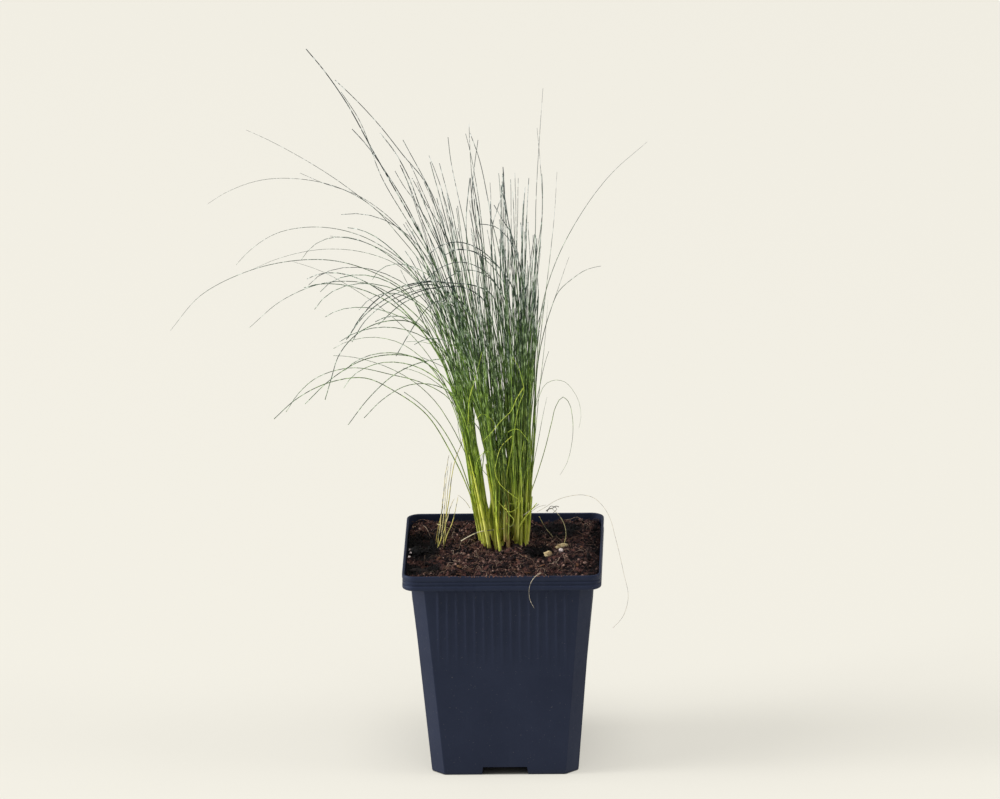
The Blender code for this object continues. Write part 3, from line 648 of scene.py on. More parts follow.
def soil_material():
    """Moist peat, near black and red-brown with a few pale grains, and near black in its pits by painted
    shade.
    """
    made, tree, shader = start_material("peat", 0.92, 0.20)
    coarse = noise_of(tree, 260, 6, 0.68)
    base = colour_ramp(tree, coarse, ((0.42, (0.003, 0.002, 0.003)), (0.50, (0.022, 0.009, 0.010)),
                                      (0.60, (0.130, 0.056, 0.044))))
    grains = noise_of(tree, 1700, 3, 0.6)
    base = over(tree, base, (0.24, 0.14, 0.09), grains, 0.64, 0.74, 0.8)
    # Painted shade: near black deep in the pits
    tree.links.new(paint_pit_shade(tree, base), shader.inputs["Base Color"])
    set_bump(tree, shader, noise_of(tree, 1300, 6, 0.75), 0.9, 0.0012)
    return made


def tinted_material(name, roughness, stops, bump_scale, specular=0.3):
    """Each piece of rubble has one tint, read from its own attribute, mottled by noise, and darkened by
    painted shade in the soil's pits.
    """
    made, tree, shader = start_material(name, roughness, specular)
    base = colour_ramp(tree, attribute_value(tree, "tint"), stops)
    mottle = noise_of(tree, bump_scale, 4, 0.6)
    base = over(tree, times(tree, base, (0.22, 0.19, 0.22)), base, mottle, 0.35, 0.65)
    # Painted shade: near black deep in the pits
    tree.links.new(paint_pit_shade(tree, base), shader.inputs["Base Color"])
    set_bump(tree, shader, mottle, 0.5, 0.0005)
    return made


# Blade colours from the soil up: of a blade in painted shade, of one painted as lit, and of the pale
# dashes on both
SHADED_BLADE = (
    (0.00, (0.320, 0.290, 0.030)),
    (0.18, (0.140, 0.180, 0.010)),
    (0.40, (0.074, 0.140, 0.008)),
    (0.60, (0.030, 0.080, 0.008)),
    (0.85, (0.010, 0.036, 0.020)),
    (1.00, (0.014, 0.026, 0.028)),
)
LIT_BLADE = (
    (0.00, (0.920, 0.900, 0.200)),
    (0.16, (0.740, 0.800, 0.080)),
    (0.38, (0.480, 0.680, 0.050)),
    (0.62, (0.300, 0.500, 0.060)),
    (0.86, (0.100, 0.200, 0.100)),
    (1.00, (0.100, 0.150, 0.130)),
)
PALE_DASH = (
    (0.00, (0.900, 0.900, 0.300)),
    (0.40, (0.600, 0.700, 0.120)),
    (0.62, (0.400, 0.600, 0.200)),
    (0.85, (0.640, 0.720, 0.620)),
    (1.00, (0.740, 0.780, 0.740)),
)
WITHERED_SHADED = (
    (0.00, (0.200, 0.100, 0.040)),
    (0.12, (0.380, 0.190, 0.060)),
    (0.24, (0.160, 0.150, 0.025)),
    (0.40, (0.030, 0.080, 0.010)),
    (1.00, (0.030, 0.050, 0.030)),
)
WITHERED_LIT = (
    (0.00, (0.560, 0.360, 0.150)),
    (0.12, (0.820, 0.560, 0.220)),
    (0.24, (0.560, 0.540, 0.090)),
    (0.40, (0.200, 0.340, 0.030)),
    (1.00, (0.150, 0.210, 0.130)),
)
DARK_STRAW = (
    (0.00, (0.020, 0.014, 0.016)),
    (0.30, (0.130, 0.062, 0.024)),
    (0.60, (0.330, 0.240, 0.030)),
    (1.00, (0.340, 0.270, 0.170)),
)
BRIGHT_STRAW = (
    (0.00, (0.060, 0.045, 0.045)),
    (0.30, (0.450, 0.270, 0.110)),
    (0.60, (0.760, 0.680, 0.120)),
    (1.00, (0.860, 0.760, 0.580)),
)


def blade_material(name, dark, bright, pale, roughness):
    """A satin thread of leaf: its colour follows its height and how lit it is painted, between a copy in
    painted shade and a lit copy, in streaks along its foot and in dashes further up."""
    made, tree, shader = start_material(name, roughness, 0.4)
    shade = attribute_value(tree, "shade")
    spots = noise_of(tree, 620, 3, 0.6, (1, 1, 0.42))
    streaks = noise_of(tree, 2000, 2, 0.5, (1, 1, 0.05))
    sway = value_map(tree, noise_of(tree, 130, 2), 0.3, 0.7, -0.07, 0.07)
    moved = math_of(tree, "ADD", shade, sway)
    dashes = colour_ramp(tree, moved, pale)
    # Painted light: the tint picks between the shaded and the lit copy of the colour
    base = mix_colour(tree, attribute_value(tree, "tint"), colour_ramp(tree, moved, dark),
                      colour_ramp(tree, moved, bright))
    foot = over(tree, base, times(tree, base, (0.26, 0.36, 0.34)), streaks, 0.50, 0.38, 0.75)
    foot = over(tree, foot, dashes, streaks, 0.54, 0.64, 0.6)
    above = over(tree, base, times(tree, base, (0.16, 0.20, 0.26)), spots, 0.50, 0.40, 0.9)
    above = over(tree, above, dashes, spots, 0.53, 0.60, 0.85)
    high = value_map(tree, shade, 0.34, 0.62, 0, 1)
    tree.links.new(mix_colour(tree, high, foot, above), shader.inputs["Base Color"])
    set_bump(tree, shader, streaks, 0.35, 0.0003)
    return made


CRUMB_STOPS = (
    (0.00, (0.004, 0.002, 0.003)),
    (0.40, (0.024, 0.010, 0.010)),
    (0.72, (0.130, 0.054, 0.042)),
    (1.00, (0.480, 0.300, 0.230)),
)
FIBRE_STOPS = (
    (0.00, (0.040, 0.020, 0.016)),
    (0.40, (0.120, 0.060, 0.040)),
    (0.75, (0.330, 0.210, 0.140)),
    (1.00, (0.560, 0.440, 0.320)),
)
BARK_STOPS = (
    (0.00, (0.060, 0.028, 0.018)),
    (0.60, (0.200, 0.085, 0.040)),
    (1.00, (0.420, 0.250, 0.120)),
)


# Pot


def body_half(z):
    share = z / (POT_HEIGHT - COLLAR_HEIGHT)
    return (BODY_BOTTOM_WIDTH + (BODY_TOP_WIDTH - BODY_BOTTOM_WIDTH) * share) / 2


def outline(half, cut, fillet, side_points, arc_steps=5):
    """A square with flat cut corners, whose edges are rounded by fillet, anticlockwise from +X."""
    run = fillet * math.tan(math.radians(22.5))
    first = Vector((half - fillet, half - cut - run))
    second = Vector((half - cut - run, half - fillet))
    corner = []
    for centre, start in ((first, 0), (second, 45)):
        for step in range(arc_steps + 1):
            angle = math.radians(start + 45 * step / arc_steps)
            corner.append(centre + fillet * Vector((math.cos(angle), math.sin(angle))))
    width = 2 * corner[-1].x
    for step in range(side_points):
        corner.append(Vector((corner[-1 - step].x - width * (step + 1) / (side_points + 1), half)))
    points = []
    for quarter in range(4):
        turn = Matrix.Rotation(math.radians(90 * quarter), 2)
        points += [turn @ p for p in corner]
    return points


def round_outline(half, radius, side_points):
    """A square with round corners, with as many points as outline gives."""
    return outline(half, radius * (1 - math.tan(math.radians(22.5))), radius, side_points)


def closed_band(low, high, count):
    """Faces between two rings of points that start at low and high."""
    faces = []
    for i in range(count):
        after = (i + 1) % count
        faces.append((low + i, low + after, high + after, high + i))
    return faces


def end_faces(low, high, count):
    """The faces that close a tube, on its first and its last ring of points."""
    return [tuple(low + i for i in reversed(range(count))), tuple(high + i for i in range(count))]


def loft(name, rings):
    """A closed skin through rings of equal point counts."""
    count = len(rings[0])
    points = [p for ring in rings for p in ring]
    faces = []
    for row in range(len(rings) - 1):
        faces += closed_band(row * count, (row + 1) * count, count)
    faces += end_faces(0, len(points) - count, count)
    return mesh_from(name, points, faces)


def rib_rise(across, z):
    """How far a rib stands out of a side at this place across it and height."""
    if abs(across) > RIB_COUNT * RIB_PITCH / 2:
        return 0.0
    below = (POT_HEIGHT - COLLAR_HEIGHT - z) / RIB_LENGTH
    fade = max(0.0, min(1.0, 1.25 * (1 - below))) * max(0.0, min(1.0, below * 30))
    wave = math.cos(2 * math.pi * across / RIB_PITCH)
    return RIB_HEIGHT * fade * max(0.0, wave) ** 1.5


def ribbed(ring, half, z):
    """Pushes the flat sides of a ring out by the ribs."""
    out = []
    for p in ring:
        faces_x = abs(p.x) > abs(p.y)
        normal = Vector((math.copysign(1, p.x), 0)) if faces_x else Vector((0, math.copysign(1, p.y)))
        on_side = max(abs(p.x), abs(p.y)) > half - 1e-6
        out.append(p + normal * (rib_rise(p.y if faces_x else p.x, z) if on_side else 0.0))
    return out


def at_height(ring, z):
    return [(p.x, p.y, z) for p in ring]


def body_ring(half, cut, side_points, z):
    return at_height(outline(half, cut, BODY_FILLET, side_points), z)


def pot_skin():
    collar = POT_HEIGHT - COLLAR_HEIGHT
    rim = RIM_WIDTH / 2
    rings = []
    foot = body_half(0)
    for lift, inset in ((0, 0.0007), (0.0002, 0.0003), (0.0006, 0.0)):
        rings.append(body_ring(foot - inset, BODY_CUT, POT_SIDE_POINTS, lift))
    heights = [0.003 + (collar - RIB_LENGTH - 0.003) * i / 4 for i in range(5)]
    heights += [collar - RIB_LENGTH + RIB_LENGTH * i / 20 for i in range(1, 20)]
    heights += [collar - 0.0012, collar - 0.0004, collar]
    for z in heights:
        half = body_half(z)
        ring = ribbed(outline(half, BODY_CUT, BODY_FILLET, POT_SIDE_POINTS), half, z)
        rings.append(at_height(ring, z))
    for below, out in reversed(COLLAR_FACE):
        half = rim + out * MM
        rings.append(at_height(round_outline(half, COLLAR_ROUND + out * MM, POT_SIDE_POINTS),
                               POT_HEIGHT - below * MM))
    inner = rim - WALL
    for half, z in ((inner + 0.0003, POT_HEIGHT), (inner, POT_HEIGHT - 0.0003),
                    (inner, collar + WALL + 0.0006), (inner - 0.0005, collar + WALL)):
        rings.append(at_height(round_outline(half, COLLAR_ROUND - WALL, POT_SIDE_POINTS), z))
    for z in (collar + WALL, 0.05, FLOOR):
        half = body_half(min(z, collar)) - WALL
        rings.append(body_ring(half, BODY_CUT - WALL / 2, POT_SIDE_POINTS, z))
    return loft("pot_skin", rings)


def block(name, width, y_span, z_span, quarter, top_width=None):
    """A block with its middle on X = 0 before it is turned round Z by quarters."""
    shape = bmesh.new()
    bmesh.ops.create_cube(shape, size=1)
    low = Vector((-width / 2, y_span[0], z_span[0]))
    high = Vector((width / 2, y_span[1], z_span[1]))
    for vertex in shape.verts:
        vertex.co = Vector([low[i] + (high[i] - low[i]) * (vertex.co[i] + 0.5) for i in range(3)])
        if top_width and vertex.co.z > (low.z + high.z) / 2:
            vertex.co.x *= top_width / (high.x - low.x)
    bmesh.ops.rotate(shape, verts=shape.verts, cent=(0, 0, 0),
                     matrix=Matrix.Rotation(math.radians(90 * quarter), 3, "Z"))
    return object_of(name, shape)


def pocket_roof(name, quarter, gap, back):
    """The block that a pocket's roof and walls fill, grown by a gap."""
    foot = body_half(0)
    return block(name, NOTCH_WIDTH + 2 * (WALL + gap), (-foot + back, -foot + POCKET_DEPTH + WALL + gap),
                 (FLOOR / 2, NOTCH_HEIGHT + WALL + gap), quarter)


def rod_object(name, radius, length, middle, sides):
    shape = bmesh.new()
    bmesh.ops.create_cone(shape, cap_ends=True, segments=sides, radius1=radius, radius2=radius,
                          depth=length)
    bmesh.ops.translate(shape, verts=shape.verts, vec=middle)
    return object_of(name, shape)


def boolean(obj, operation, others):
    """Joins or cuts obj with all the others, which are then removed."""
    group = bpy.data.collections.new("boolean_group")
    for other in others:
        group.objects.link(other)
    modifier = obj.modifiers.new(operation.lower(), "BOOLEAN")
    modifier.operation = operation
    modifier.operand_type = "COLLECTION"
    modifier.collection = group
    modifier.solver = "MANIFOLD"
    graph = bpy.context.evaluated_depsgraph_get()
    mesh = bpy.data.meshes.new_from_object(obj.evaluated_get(graph))
    obj.modifiers.clear()
    obj.data = mesh
    for other in others:
        bpy.data.objects.remove(other)
    bpy.data.collections.remove(group)


def make_pot():
    pot = new_object("pot_shell", pot_skin())
    foot = body_half(0)
    roofs, cutters = [], []
    for quarter in range(4):
        roofs.append(pocket_roof("roof", quarter, 0, 0.0004))
        cutters.append(block("notch", NOTCH_WIDTH, (-foot - 0.003, -foot + POCKET_DEPTH),
                             (-NOTCH_HEIGHT, NOTCH_HEIGHT), quarter, NOTCH_TOP_WIDTH))
        middle = -foot + POCKET_DEPTH * SLOT_PLACE
        cutters.append(block("slot", SLOT_SIZE[0], (middle - SLOT_SIZE[1] / 2, middle + SLOT_SIZE[1] / 2),
                             (NOTCH_HEIGHT - 0.001, NOTCH_HEIGHT + WALL + 0.001), quarter))
        corner = math.radians(45 + 90 * quarter)
        reach = DRAIN_PLACE * math.sqrt(2)
        cutters.append(rod_object("drain", DRAIN_RADIUS, 2 * FLOOR,
                                  (reach * math.cos(corner), reach * math.sin(corner), 0), 32))
    boolean(pot, "UNION", roofs)
    boolean(pot, "DIFFERENCE", cutters)
    pot.data.shade_smooth()
    pot.data.set_sharp_from_angle(angle=math.radians(35))
    settle(pot, "pot_plastic", pot_plastic(), "pot")


# Soil


def falloff(x, y, spot):
    distance = math.hypot((x - spot.x) / spot.half_x, (y - spot.y) / spot.half_y)
    return 0.5 + 0.5 * math.cos(math.pi * min(distance, 1))


def soil_height(x, y):
    """The frame's lumpy surface, without its fine grain."""
    lump = noise.fractal(Vector((x, y, 0)) / SOIL_LUMP_SIZE, 0.7, 2.2, 3)
    z = POT_HEIGHT - SOIL_DROP + SOIL_LUMP * lump
    z += sum(heap.depth * falloff(x, y, heap) for heap in HEAPS)
    z -= sum(hollow.depth * falloff(x, y, hollow) for hollow in HOLLOWS)
    collar = POT_HEIGHT - COLLAR_HEIGHT
    if max(abs(x), abs(y)) / (body_half(collar) - WALL) > SHELF_STARTS:
        z = max(z, collar + WALL + SHELF_COVER)
    return min(z, POT_HEIGHT - SHELF_COVER)


def soil_top(x, y):
    """The surface with its grain."""
    grain = noise.fractal(Vector((x, y, 0)) / SOIL_GRAIN_SIZE, 0.55, 2.3, 4)
    return soil_height(x, y) + SOIL_GRAIN * grain


def soil_sheet(shelf):
    """The fine grid of the surface, with a skirt and a floor down on the pot's shelf."""
    half = RIM_WIDTH / 2 - WALL - 0.0004
    count = SOIL_GRID + 1
    points = []
    for row in range(count):
        for column in range(count):
            u = 2 * column / SOIL_GRID - 1
            v = 2 * row / SOIL_GRID - 1
            corner = 1 - 0.036 * (u * v) ** 6
            x, y = u * half * corner, v * half * corner
            points.append((x, y, soil_top(x, y)))
    faces = []
    for row in range(SOIL_GRID):
        for column in range(SOIL_GRID):
            first = row * count + column
            faces.append((first, first + 1, first + count + 1, first + count))
    rim = list(range(SOIL_GRID))
    rim += [r * count + SOIL_GRID for r in range(SOIL_GRID)]
    rim += [SOIL_GRID * count + c for c in range(SOIL_GRID, 0, -1)]
    rim += [r * count for r in range(SOIL_GRID, 0, -1)]
    start = len(points)
    points += [(points[i][0], points[i][1], shelf) for i in rim]
    for i, top in enumerate(rim):
        after = (i + 1) % len(rim)
        faces.append((top, start + i, start + after, rim[after]))
    faces.append(tuple(start + i for i in reversed(range(len(rim)))))
    return points, faces


def make_soil(material):
    """The surface, and the block below it that shows through the drain holes."""
    shelf = POT_HEIGHT - COLLAR_HEIGHT + WALL + GAP
    points, faces = soil_sheet(shelf)
    start = len(points)
    for z in (FLOOR + GAP, shelf - 0.0001):
        side = body_half(min(z, POT_HEIGHT - COLLAR_HEIGHT)) - WALL - GAP
        points += body_ring(side, BODY_CUT - WALL / 2, 4, z)
    count = (len(points) - start) // 2
    faces += closed_band(start, start + count, count)
    faces += end_faces(start, start + count, count)
    soil = new_object("soil_surface", mesh_from("soil_surface", points, faces))
    boolean(soil, "DIFFERENCE", [pocket_roof("room", quarter, GAP, 0) for quarter in range(4)])
    soil.data.shade_smooth()
    add_pit_shade(soil.data)
    settle(soil, "potting_soil", material, "soil")


def lump_meshes(name, lumps, detail):
    """Many rough lumps as one mesh. Each lump is (middle, half sizes, turn, tint)."""
    shape = bmesh.new()
    bmesh.ops.create_icosphere(shape, subdivisions=detail, radius=1)
    base = np.array([v.co[:] for v in shape.verts])
    shape.faces.ensure_lookup_table()
    base_faces = np.array([[v.index for v in f.verts] for f in shape.faces])
    shape.free()
    draw = np.random.default_rng(SEED)
    points, faces, tints = [], [], []
    for index, (middle, sizes, turn, tint) in enumerate(lumps):
        rough = base * (1 + draw.uniform(-0.28, 0.28, (len(base), 1)))
        placed = (rough * np.array(sizes)) @ np.array(turn.to_matrix()).T + np.array(middle)
        points.append(placed)
        faces.append(base_faces + index * len(base))
        tints.append(np.full(len(base), tint))
    mesh = mesh_from(name, np.concatenate(points), np.concatenate(faces).tolist())
    add_attribute(mesh, "tint", np.concatenate(tints))
    add_pit_shade(mesh)
    return mesh


def random_turn(draw):
    return Euler((draw.uniform(0, 6.3), draw.uniform(0, 6.3), draw.uniform(0, 6.3)))


def scatter_place(draw, margin=0.0012):
    half = RIM_WIDTH / 2 - WALL - margin
    return draw.uniform(-half, half), draw.uniform(-half, half)


def uneven(draw, size, spans):
    """Half sizes along three axes, each within its own span of one size."""
    return [size * draw.uniform(*span) for span in spans]


def make_crumbs():
    draw = random.Random(SEED + 1)
    lumps = []
    for _ in range(CRUMBS):
        x, y = scatter_place(draw)
        size = 0.00018 + 0.00070 * draw.random() ** 2.8
        sizes = uneven(draw, size, CRUMB_SPANS)
        place = (x, y, soil_top(x, y) + size * 0.25)
        lumps.append((place, sizes, random_turn(draw), draw.random() ** 1.25))
    for _ in range(RIM_CRUMBS):
        x = draw.gauss(0.002, 0.014)
        size = draw.uniform(0.00012, 0.00036)
        y = -RIM_WIDTH / 2 + draw.choice((0.0006, 0.0002, -0.0001)) + size * 0.3
        sizes = (size * 1.5, size, size * 0.6)
        lumps.append(((x, y, POT_HEIGHT - 0.0001), sizes, random_turn(draw), 0.8))
    add_piece("soil_crumbs", lump_meshes("soil_crumbs", lumps, 1), "potting_soil",
              tinted_material("crumb_finish", 0.9, CRUMB_STOPS, 1500))
    lumps = []
    for _ in range(SOIL_CLUMPS):
        x, y = scatter_place(draw, 0.0030)
        size = 0.0008 + 0.0014 * draw.random() ** 2.2
        sizes = uneven(draw, size, CLUMP_SPANS)
        lumps.append(((x, y, soil_top(x, y)), sizes, random_turn(draw), draw.uniform(0.05, 0.70)))
    add_piece("soil_clumps", lump_meshes("soil_clumps", lumps, 3), "potting_soil",
              tinted_material("clump_finish", 0.92, CRUMB_STOPS, 1200))


# Strands


def pixels_of(path):
    """Where the photograph would show the points of a path."""
    offset = path - np.array(VIEW_PLACE)
    scale = PIXELS_PER_METRE * VIEW_DISTANCE / -(offset @ np.array(BACK))
    return (IMAGE_SIZE[0] / 2 + offset @ np.array(RIGHT) * scale,
            IMAGE_SIZE[1] / 2 - offset @ np.array(UP) * scale)


def parted(strand):
    """Keeps a strand on its own side of the gap beside the outer left tillers."""
    across, down = pixels_of(strand.path)
    off = across - np.interp(down, [q[1] for q in PARTING], [q[0] for q in PARTING])
    fade = np.interp(down, PARTING_FADE, (0, 1, 1, 0))
    near = off[(fade > 0) & (np.abs(off) < PARTING_REACH)]
    if not len(near) or min(near.max(), -near.min()) > PARTING_CROSSED:
        return strand
    side = 1 if near.mean() > 0 else -1
    out = np.clip(side * off, 0, PARTING_REACH)
    wanted = side * (PARTING_HALF + out * (1 - PARTING_HALF / PARTING_REACH))
    push = np.where(side * off < PARTING_REACH, fade * (wanted - off), 0)
    path = strand.path.copy()
    path[:, 0] += push / PIXELS_PER_METRE
    return strand._replace(path=path)


# A tapering strand: the points of its middle line, and at each of them its width and its shade
Strand = namedtuple("Strand", "path widths thinness shades tint sides")


def smooth_path(points, spacing):
    """A smooth line through given points."""
    p = np.array([tuple(q) for q in points])
    steps = np.diff(p, axis=0)
    lengths = np.linalg.norm(steps, axis=1)[:, None]
    slopes = steps / lengths
    tangents = np.concatenate([slopes[:1], slopes, slopes[-1:]])[:-1].copy()
    before, after = lengths[:-1], lengths[1:]
    tangents[1:-1] = (slopes[:-1] * after + slopes[1:] * before) / (after + before)
    out = []
    for i, length in enumerate(lengths[:, 0]):
        count = max(2, round(length / spacing))
        t = (np.arange(count) / count)[:, None]
        between = (2 * t ** 3 - 3 * t ** 2 + 1) * p[i] + (3 * t ** 2 - 2 * t ** 3) * p[i + 1]
        leave = (t ** 3 - 2 * t ** 2 + t) * length * tangents[i]
        arrive = (t ** 3 - t ** 2) * length * tangents[i + 1]
        out.append(between + leave + arrive)
    return np.concatenate(out + [p[-1:]])


def tube_points(strand, turn):
    """The points round a strand, in rings that don't twist, the first at its own turn."""
    path, sides = strand.path, strand.sides
    along = np.gradient(path, axis=0)
    along /= np.linalg.norm(along, axis=1)[:, None]
    flat = np.empty_like(path)
    now = np.array((math.cos(turn), math.sin(turn), 0.11))
    for i in range(len(path)):
        now = now - now.dot(along[i]) * along[i]
        now /= np.linalg.norm(now)
        flat[i] = now
    up = np.cross(along, flat)
    angles = 2 * np.pi * np.arange(sides) / sides
    ring = (flat[:, None, :] * np.cos(angles)[None, :, None]
            + up[:, None, :] * np.sin(angles)[None, :, None] * strand.thinness)
    return (path[:, None, :] + ring * (strand.widths / 2)[:, None, None]).reshape(-1, 3)


def strand_mesh(name, strands):
    """Many strands as one mesh, each a closed tube with its own number of sides."""
    points, faces, shades, tints = [], [], [], []
    start = 0
    for index, strand in enumerate(strands):
        count, sides = len(strand.path), strand.sides
        points.append(tube_points(strand, index))
        for i in range(count - 1):
            faces += closed_band(start + i * sides, start + (i + 1) * sides, sides)
        faces += end_faces(start, start + (count - 1) * sides, sides)
        shades.append(np.repeat(strand.shades, sides))
        tints.append(np.full(count * sides, strand.tint))
        start += count * sides
    mesh = mesh_from(name, np.concatenate(points), faces)
    add_attribute(mesh, "shade", np.concatenate(shades))
    add_attribute(mesh, "tint", np.concatenate(tints))
    return mesh


def shade_by_height(path, share):
    """Lime at the soil, green above, dull blue-green towards the tips."""
    height = np.clip((path[:, 2] - crown_top()) / CLUMP_REACH, 0, 1.2)
    return np.clip(0.30 * np.clip(height * 3.6, 0, 1) + 0.46 * height + 0.26 * share ** 2, 0, 1)


def length_share(path):
    steps = np.concatenate([[0], np.cumsum(np.linalg.norm(np.diff(path, axis=0), axis=1))])
    return steps / steps[-1]


def pixel_path(text):
    """The pixels of a path written as x,y pairs."""
    return np.array([[float(number) for number in pair.split(",")] for pair in text.split()])


def traced_strand(traced, spacing=BLADE_SPACING, sides=BLADE_SIDES, taper=0.55):
    """A strand through its pixels, with its depth spread evenly along them."""
    pixels = pixel_path(traced.pixels)
    shares = length_share(pixels)
    points = [seen_at(pixel, (traced.near + (traced.far - traced.near) * share) * MM)
              for pixel, share in zip(pixels, shares)]
    path = smooth_path(points, spacing)
    share = length_share(path)
    if traced.shade is BY_HEIGHT:
        shades = shade_by_height(path, share)
    else:
        shades = np.clip(traced.shade + 0.10 * share, 0, 1)
    return Strand(path, traced.width * MM * (1 - taper * share ** 1.6), 0.75, shades, traced.tint, sides)


def traced_sheath(traced):
    """A stout leaf sheath that narrows into its blade."""
    strand = traced_strand(traced, SHEATH_SPACING, SHEATH_SIDES, 0.72)
    share = length_share(strand.path)
    return strand._replace(shades=np.clip(traced.shade + 0.24 * share ** 1.3, 0, 1))


# The frame's own rule for its bunches


def crown_top():
    return POT_HEIGHT - SOIL_DROP + 0.0004


def heading_vector(degrees):
    return Vector((math.cos(math.radians(degrees)), math.sin(math.radians(degrees))))


def reach_to_edge(start, degrees, radius):
    along = heading_vector(degrees)
    offset = start - CLUMP
    half = offset.dot(along)
    return -half + math.sqrt(half * half - offset.length_squared + radius * radius)


def blade_path(start, blade, sector, steps):
    """The middle line of a blade, by the frame's rule."""
    low, high = sector
    points = [start.copy()]
    here = start.copy()
    fine = 3
    for step in range(steps * fine):
        share = (step + 0.5) / (steps * fine)
        lean = math.radians(blade.lean + (blade.tip_lean - blade.lean) * share ** blade.bend)
        heading = min(max(blade.heading + blade.turn * share, low), high)
        flat = heading_vector(heading)
        part = blade.length / (steps * fine)
        here = here + part * Vector((math.sin(lean) * flat.x, math.sin(lean) * flat.y, math.cos(lean)))
        if (step + 1) % fine == 0:
            points.append(here.copy())
    return points


def tillers_of(bunch, draw):
    low, high = bunch.sector
    found = []
    for index in range(bunch.tillers):
        share = (0.5 + index * 0.618) % 1
        depth = math.sqrt((index + 0.6) / bunch.tillers)
        heading = low + (high - low) * (0.14 + 0.72 * share)
        far = reach_to_edge(SECTORS_MEET, heading, CLUMP_RADIUS - SHEATH_RADIUS - 2 * GAP)
        side = min(heading - low, high - heading)
        near = min((SHEATH_RADIUS + 2 * GAP) / math.sin(math.radians(min(side, 90))), far)
        distance = near + (far - near) * depth
        foot = SECTORS_MEET + heading_vector(heading) * distance
        combed = max(0, -heading_vector(heading).x)
        lean = TILLER_LEAN[0] + (TILLER_LEAN[1] + TILLER_LEAN[2] * combed) * distance / far
        found.append((foot, heading, lean, draw.uniform(*bunch.sheath)))
    return found


def blades_of(bunch, tiller, draw):
    low, high = bunch.sector
    _, heading, _, sheath = tiller
    kinds = [kind for kind in bunch.kinds for _ in range(kind.count)]
    blades = []
    for index, kind in enumerate(kinds):
        spread = draw.uniform(-1, 1) * (high - low) / 2
        towards = min(max(heading + spread, low), high)
        blades.append(Blade(
            heading=towards,
            turn=draw.uniform(-12, 12),
            lean=draw.uniform(*kind.lean),
            tip_lean=draw.uniform(*kind.tip_lean),
            bend=draw.uniform(*kind.bend),
            length=draw.uniform(*kind.length),
            rise=sheath * (0.25 + 0.6 * index / len(kinds)),
        ))
    return blades


def wavy(path, reach, draw):
    """Adds the slow wander and the small kinks of a real blade, none at its foot."""
    phase = Vector((draw.uniform(0, 99), draw.uniform(0, 99), draw.uniform(0, 99)))
    moved = []
    for i, point in enumerate(path):
        share = i / (len(path) - 1)
        slow = noise.noise_vector(phase + Vector((share * 2.2, 0, 0)))
        quick = noise.noise_vector(phase + Vector((share * 12, 5, 0)))
        shift = slow * (share * reach) + quick * (KINK * min(1, 4 * share))
        moved.append((point.x + shift.x, point.y + shift.y, point.z + shift.z * 0.3))
    return np.array(moved)


def bright_or_dark(draw, brightness):
    """A blade is painted dark, as in shade, or bright, as catching the light, the more often the larger
    its bunch's lit share.
    """
    if draw.random() < brightness:
        return draw.uniform(0.45, 1.0)
    return draw.uniform(0.0, 0.35)


def blade_strand(start, blade, sector, draw, width, reach, tint):
    path = wavy(blade_path(start, blade, sector, BLADE_STEPS), reach, draw)
    share = np.linspace(0, 1, len(path))
    widths = width * (1 - (1 - BLADE_TIP_SHARE) * share ** 1.5)
    return Strand(path, widths, 0.75, shade_by_height(path, share), tint, BLADE_SIDES)


def sheath_strands(base, tip, draw, brightness):
    """Nested leaf sheaths: a stout one with thinner ones folded against it."""
    strands = []
    base, tip = np.array(base), np.array(tip)
    share = np.linspace(0, 1, 10)
    turn = draw.uniform(0, 6.3)
    for layer in range(2):
        around = turn + 2.1 * layer
        offset = np.array([math.cos(around), math.sin(around), 0]) * 0.00050 * layer ** 0.5
        reach = (share * (1.1 - 0.2 * layer))[:, None]
        path = base + offset * (1 - 0.5 * share[:, None]) + (tip - base) * reach
        widths = draw.uniform(0.00125, 0.00185) * (1 - 0.16 * layer) * (1 - 0.66 * share ** 1.3)
        # Sheaths are painted lit more often than their blades
        tint = bright_or_dark(draw, brightness + 0.2)
        shades = 0.01 + 0.05 * layer + 0.26 * share ** 1.3
        strands.append(Strand(path, widths, 0.8, shades, tint, SHEATH_SIDES))
    return strands


def extra_blade(draw):
    """A thin blade of any heading, so that it crosses its neighbours. Only those to -X arch over."""
    share = draw.random()
    if share < 0.05:
        return Blade(draw.uniform(150, 225), draw.uniform(-20, 20), draw.uniform(1, 8),
                     draw.uniform(60, 130), draw.uniform(1.5, 3.0), draw.uniform(0.060, 0.125), 0)
    tip_lean = draw.uniform(2, 20) if share < 0.72 else draw.uniform(-22, 0)
    return Blade(draw.uniform(0, 360), draw.uniform(-40, 40), draw.uniform(0, 6), tip_lean,
                 draw.uniform(1.1, 2.6), 0.040 + 0.080 * draw.random() ** 1.5, 0)


def combed(strand, draw, most):
    """Sweeps a blade towards -X as it rises, the way the clump is combed."""
    height = np.clip((strand.path[:, 2] - crown_top()) / CLUMP_REACH, 0, None)
    path = strand.path.copy()
    path[:, 0] -= draw.uniform(0.0, most) * height ** 1.6
    return strand._replace(path=path)


